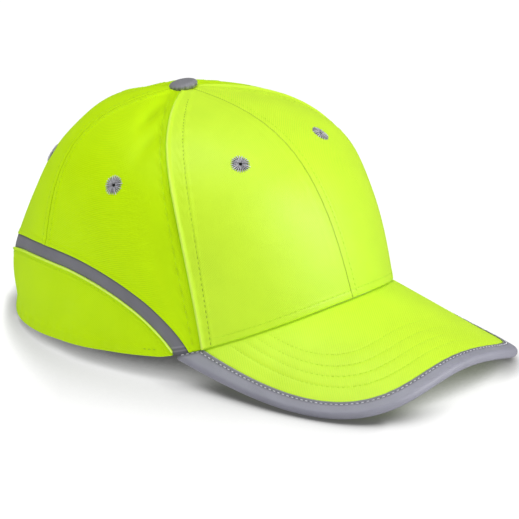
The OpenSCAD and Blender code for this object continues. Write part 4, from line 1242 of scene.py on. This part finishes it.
def pad(name, middle, spread, foot_at, foot, high):
    """Foam pad on the shell, crowned and drawn in at its edges, with a moulded grid of channels."""
    low = float(climb_at(foot_at, rim_z(np.array(float(foot_at))) + foot))
    s, t = np.linspace(0, 1, 90), np.linspace(0, 1, 70)[:, None]
    angle = middle + spread * (2 * s - 1) * (1 - 0.22 * np.abs(2 * t - 1) ** 3)
    climb = low + (high - low) * (t + 0.10 * np.abs(2 * s - 1) ** 3 * (1 - 2 * t))
    body = np.sqrt(full_shape(s) * full_shape(t))
    groove = np.maximum(channels(s, 4, 0.07), channels(t, 3, 0.06)) * smooth(body * 1.6)
    foam_pad(name, angle, climb, body, groove)


def crown_pad():
    """Ring shaped foam pad under the top of the shell, with eight channels."""
    t = np.linspace(0, 1, 40)[:, None]
    angle, climb = np.broadcast_arrays(np.arange(0, 360, 3.0), 0.77 + 0.17 * t)
    groove = channels(angle / 360, 8, 0.06) * smooth(full_shape(t) * 1.6)
    foam_pad("crown_pad", angle, climb, np.sqrt(full_shape(t)), groove, closed=True)


def hook_dots():
    """Round hook and loop dots between shell and crown: a flat section with a soft edge, turned about its axis."""
    turn = full_turn(48)
    r = np.array([0.0, 4.0, 6.7, 7.0, 7.0, 6.7, 4.0, 0.0])[:, None]
    h = np.array([0.5, 0.5, 0.48, 0.35, 0.15, 0.02, 0.0, 0.0])[:, None] + 0 * turn
    faces = grid_faces(len(r), len(turn), wrap_columns=True)
    parts = []
    for angle, height in DOTS:
        climb = climb_at(angle, height)
        p = turned_about(laid(angle, climb, -(LINING + 0.85)), crown_axes(angle, climb), r, h, turn)
        parts.append((p.reshape(-1, 3), faces))
    make("hook_and_loop", *joined(parts), TERRY, slot="sweatband_fabric", node="hook_loop_dots")


# Back closure

STRAP_START, STRAP_STOP = -55, 33
STRAP_ROW = 2.2                 # stitch rows from the strap's edges
STRAP_MM_PER_DEGREE = 1.19
# Tunnels: piece, first and last angle, thickness of the outer wall, and node
TUNNELS = (("right_strap_sleeve", -57, -31, 1.0, "strap_sleeve"), ("left_tuck_pocket", 32, 54, 0.3, "tuck_pocket"))


def strap_point(turn, out, z):
    """Point at an angle from the middle of the back, to the wearer's left, at a radius from the strap axis."""
    turn = np.radians(turn)
    return np.stack(np.broadcast_arrays(out * np.sin(turn), STRAP_AXIS + out * np.cos(turn), z), -1)


def strap_run(turn, section):
    """A section of radii and heights carried round the strap axis."""
    return strap_point(turn[:, None], section[:, 0], section[:, 1])


def band_section(near, far, low, high, count=60, power=9.0):
    """Flat section with rounded edges, a very square ellipse."""
    c, s = np.cos(full_turn(count)), np.sin(full_turn(count))
    r = (np.abs(c) ** power + np.abs(s) ** power) ** (-1 / power)
    return np.stack([(near + far) / 2 + (far - near) / 2 * c * r, (low + high) / 2 + (high - low) / 2 * s * r], -1)


def free_strap():
    """The strap, a flat section carried round the strap axis with closed ends, and its edge stitching on both faces."""
    turn = np.linspace(STRAP_START, STRAP_STOP, 220)
    section = band_section(STRAP_IN, STRAP_OUT, STRAP_LOW, STRAP_HIGH)
    p = strap_run(turn, section)
    first, last = (np.broadcast_to(end.mean(1, keepdims=True), end.shape) for end in (p[:1], p[-1:]))
    p = np.concatenate([first, p, last])
    verts = p.reshape(-1, 3)
    along = np.degrees(np.arctan2(verts[:, 0], verts[:, 1] - STRAP_AXIS)) * STRAP_MM_PER_DEGREE
    make("woven_strap", verts, grid_faces(len(p), len(section), wrap_columns=True), STRAP_CLOTH,
         uv=np.stack([along, verts[:, 2]], -1), slot="strap_fabric", body="strap", node="free_strap")
    turn = np.linspace(STRAP_START + 1, STRAP_STOP - 0.6, 300)
    outward = np.stack([np.sin(np.radians(turn)), np.cos(np.radians(turn)), 0 * turn], -1)
    rows = [thread_row(strap_point(turn, out, z), outward * way, proud=0.0, radius=0.19)
            for z in (STRAP_LOW + STRAP_ROW, STRAP_HIGH - STRAP_ROW) for out, way in ((STRAP_OUT, 1), (STRAP_IN, -1))]
    make("strap_stitching", *joined(rows), YELLOW_THREAD, slot="strap_fabric", body="strap")


def strap_tunnels():
    """The sleeve where the strap runs and the pocket for its tail: hollow square sections carried round the axis."""
    for name, start, stop, wall, node in TUNNELS:
        outer, inner = (strap_run(np.linspace(start, stop, 80), section) for section in (
            band_section(STRAP_IN - 0.8, STRAP_OUT + 0.3 + wall, STRAP_LOW - 0.7, STRAP_HIGH + 0.7, power=12),
            band_section(STRAP_IN - 0.3, STRAP_OUT + 0.3, STRAP_LOW - 0.3, STRAP_HIGH + 0.3, power=30)))
        sheet(name, outer, inner, HI_VIS_LINING, uv=cloth_uv(outer), closed=True, slot="lining_fabric", node=node)


def anchor_strap():
    """Short strap from the side to the buckle: a plan line, most of a circle round the buckle bar and then an arc
    about the strap axis, given a thickness to both sides and the strap's height."""
    bar, bend, out = np.array([STRAP_OUT + 2.0, -7.6]), 1.35, STRAP_OUT + 1.15
    around = np.radians(np.linspace(235, -65, 60))[:, None]
    loop = bar + bend * np.concatenate([np.cos(around), np.sin(around)], 1)
    start = math.degrees(math.atan2(-loop[-1, 1], loop[-1, 0]))
    away = np.radians(np.linspace(start + 2.0, 44 - BUCKLE_ANGLE, 60))
    line = np.concatenate([loop, np.stack([out * np.cos(away), -out * np.sin(away)], -1)])
    along = unit(np.gradient(line, axis=0))
    side = np.stack([along[:, 1], -along[:, 0]], -1)
    up = np.linspace(0, 1, 30)[:, None]
    z = STRAP_LOW + (STRAP_HIGH - STRAP_LOW) * up
    half = 0.34 * (1 - np.abs(2 * up - 1) ** 12 * 0.6)

    def face(way):
        """The line moved half a thickness to one side and raised over the strap's height."""
        p = line[None] + way * half[..., None] * side[None]
        r, a = length(p), np.degrees(np.arctan2(p[..., 1], p[..., 0]))
        return strap_point(BUCKLE_ANGLE - a, r, np.broadcast_to(z, r.shape))

    outer, inner = face(1), face(-1)
    sheet("anchor_webbing", outer, inner, STRAP_CLOTH, uv=cloth_uv(outer), slot="strap_fabric", node="anchor_strap")


def finish_rigid_nodes():
    """Rigid CAD nodes keep their shape and take a finish."""
    for node, mat in (("buckle_frame", STEEL), ("buckle_pin", STEEL), ("buckle_lever", STEEL),
                      ("button_stud", STEEL), ("visor_board", BOARD_PLASTIC)):
        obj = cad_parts[node]
        obj.data.materials.clear()
        obj.data.materials.append(mat)


add_camera()
add_lights()
add_floor()
for label, first_seam, last_seam in (
        ("front_panel_left", MIDDLE_SEAM, FRONT_SEAM),
        ("front_panel_right", mirrored(FRONT_SEAM), MIDDLE_SEAM),
        ("side_panel_left", FRONT_SEAM, REAR_SEAM),
        ("side_panel_right", mirrored(REAR_SEAM), mirrored(FRONT_SEAM)),
        ("rear_panel_left", REAR_SEAM, BACK_SEAM),
        ("rear_panel_right", mirrored(BACK_SEAM), mirrored(REAR_SEAM))):
    upper_panel(label, first_seam, last_seam)
for label, way in (("left", 1), ("right", -1)):
    lower_panel("lower_panel_" + label, way)
    reflective_tape("reflective_tape_" + label, way)
crown_threads()
eyelets()
button()
visor_face("visor_top", VISOR_LIFT, "visor_top_cover", 1)
visor_face("visor_underside", VISOR_BOTTOM, "visor_under_cover", -1)
visor_binding()
visor_threads()
stiffener("front_stiffener_left", MIDDLE_SEAM, FRONT_SEAM)
stiffener("front_stiffener_right", mirrored(FRONT_SEAM), MIDDLE_SEAM)
seam_tapes()
arch_facing()
sweatband()
impact_shell()
for numbers in PADS:
    pad(*numbers)
crown_pad()
hook_dots()
free_strap()
strap_tunnels()
anchor_strap()
finish_rigid_nodes()
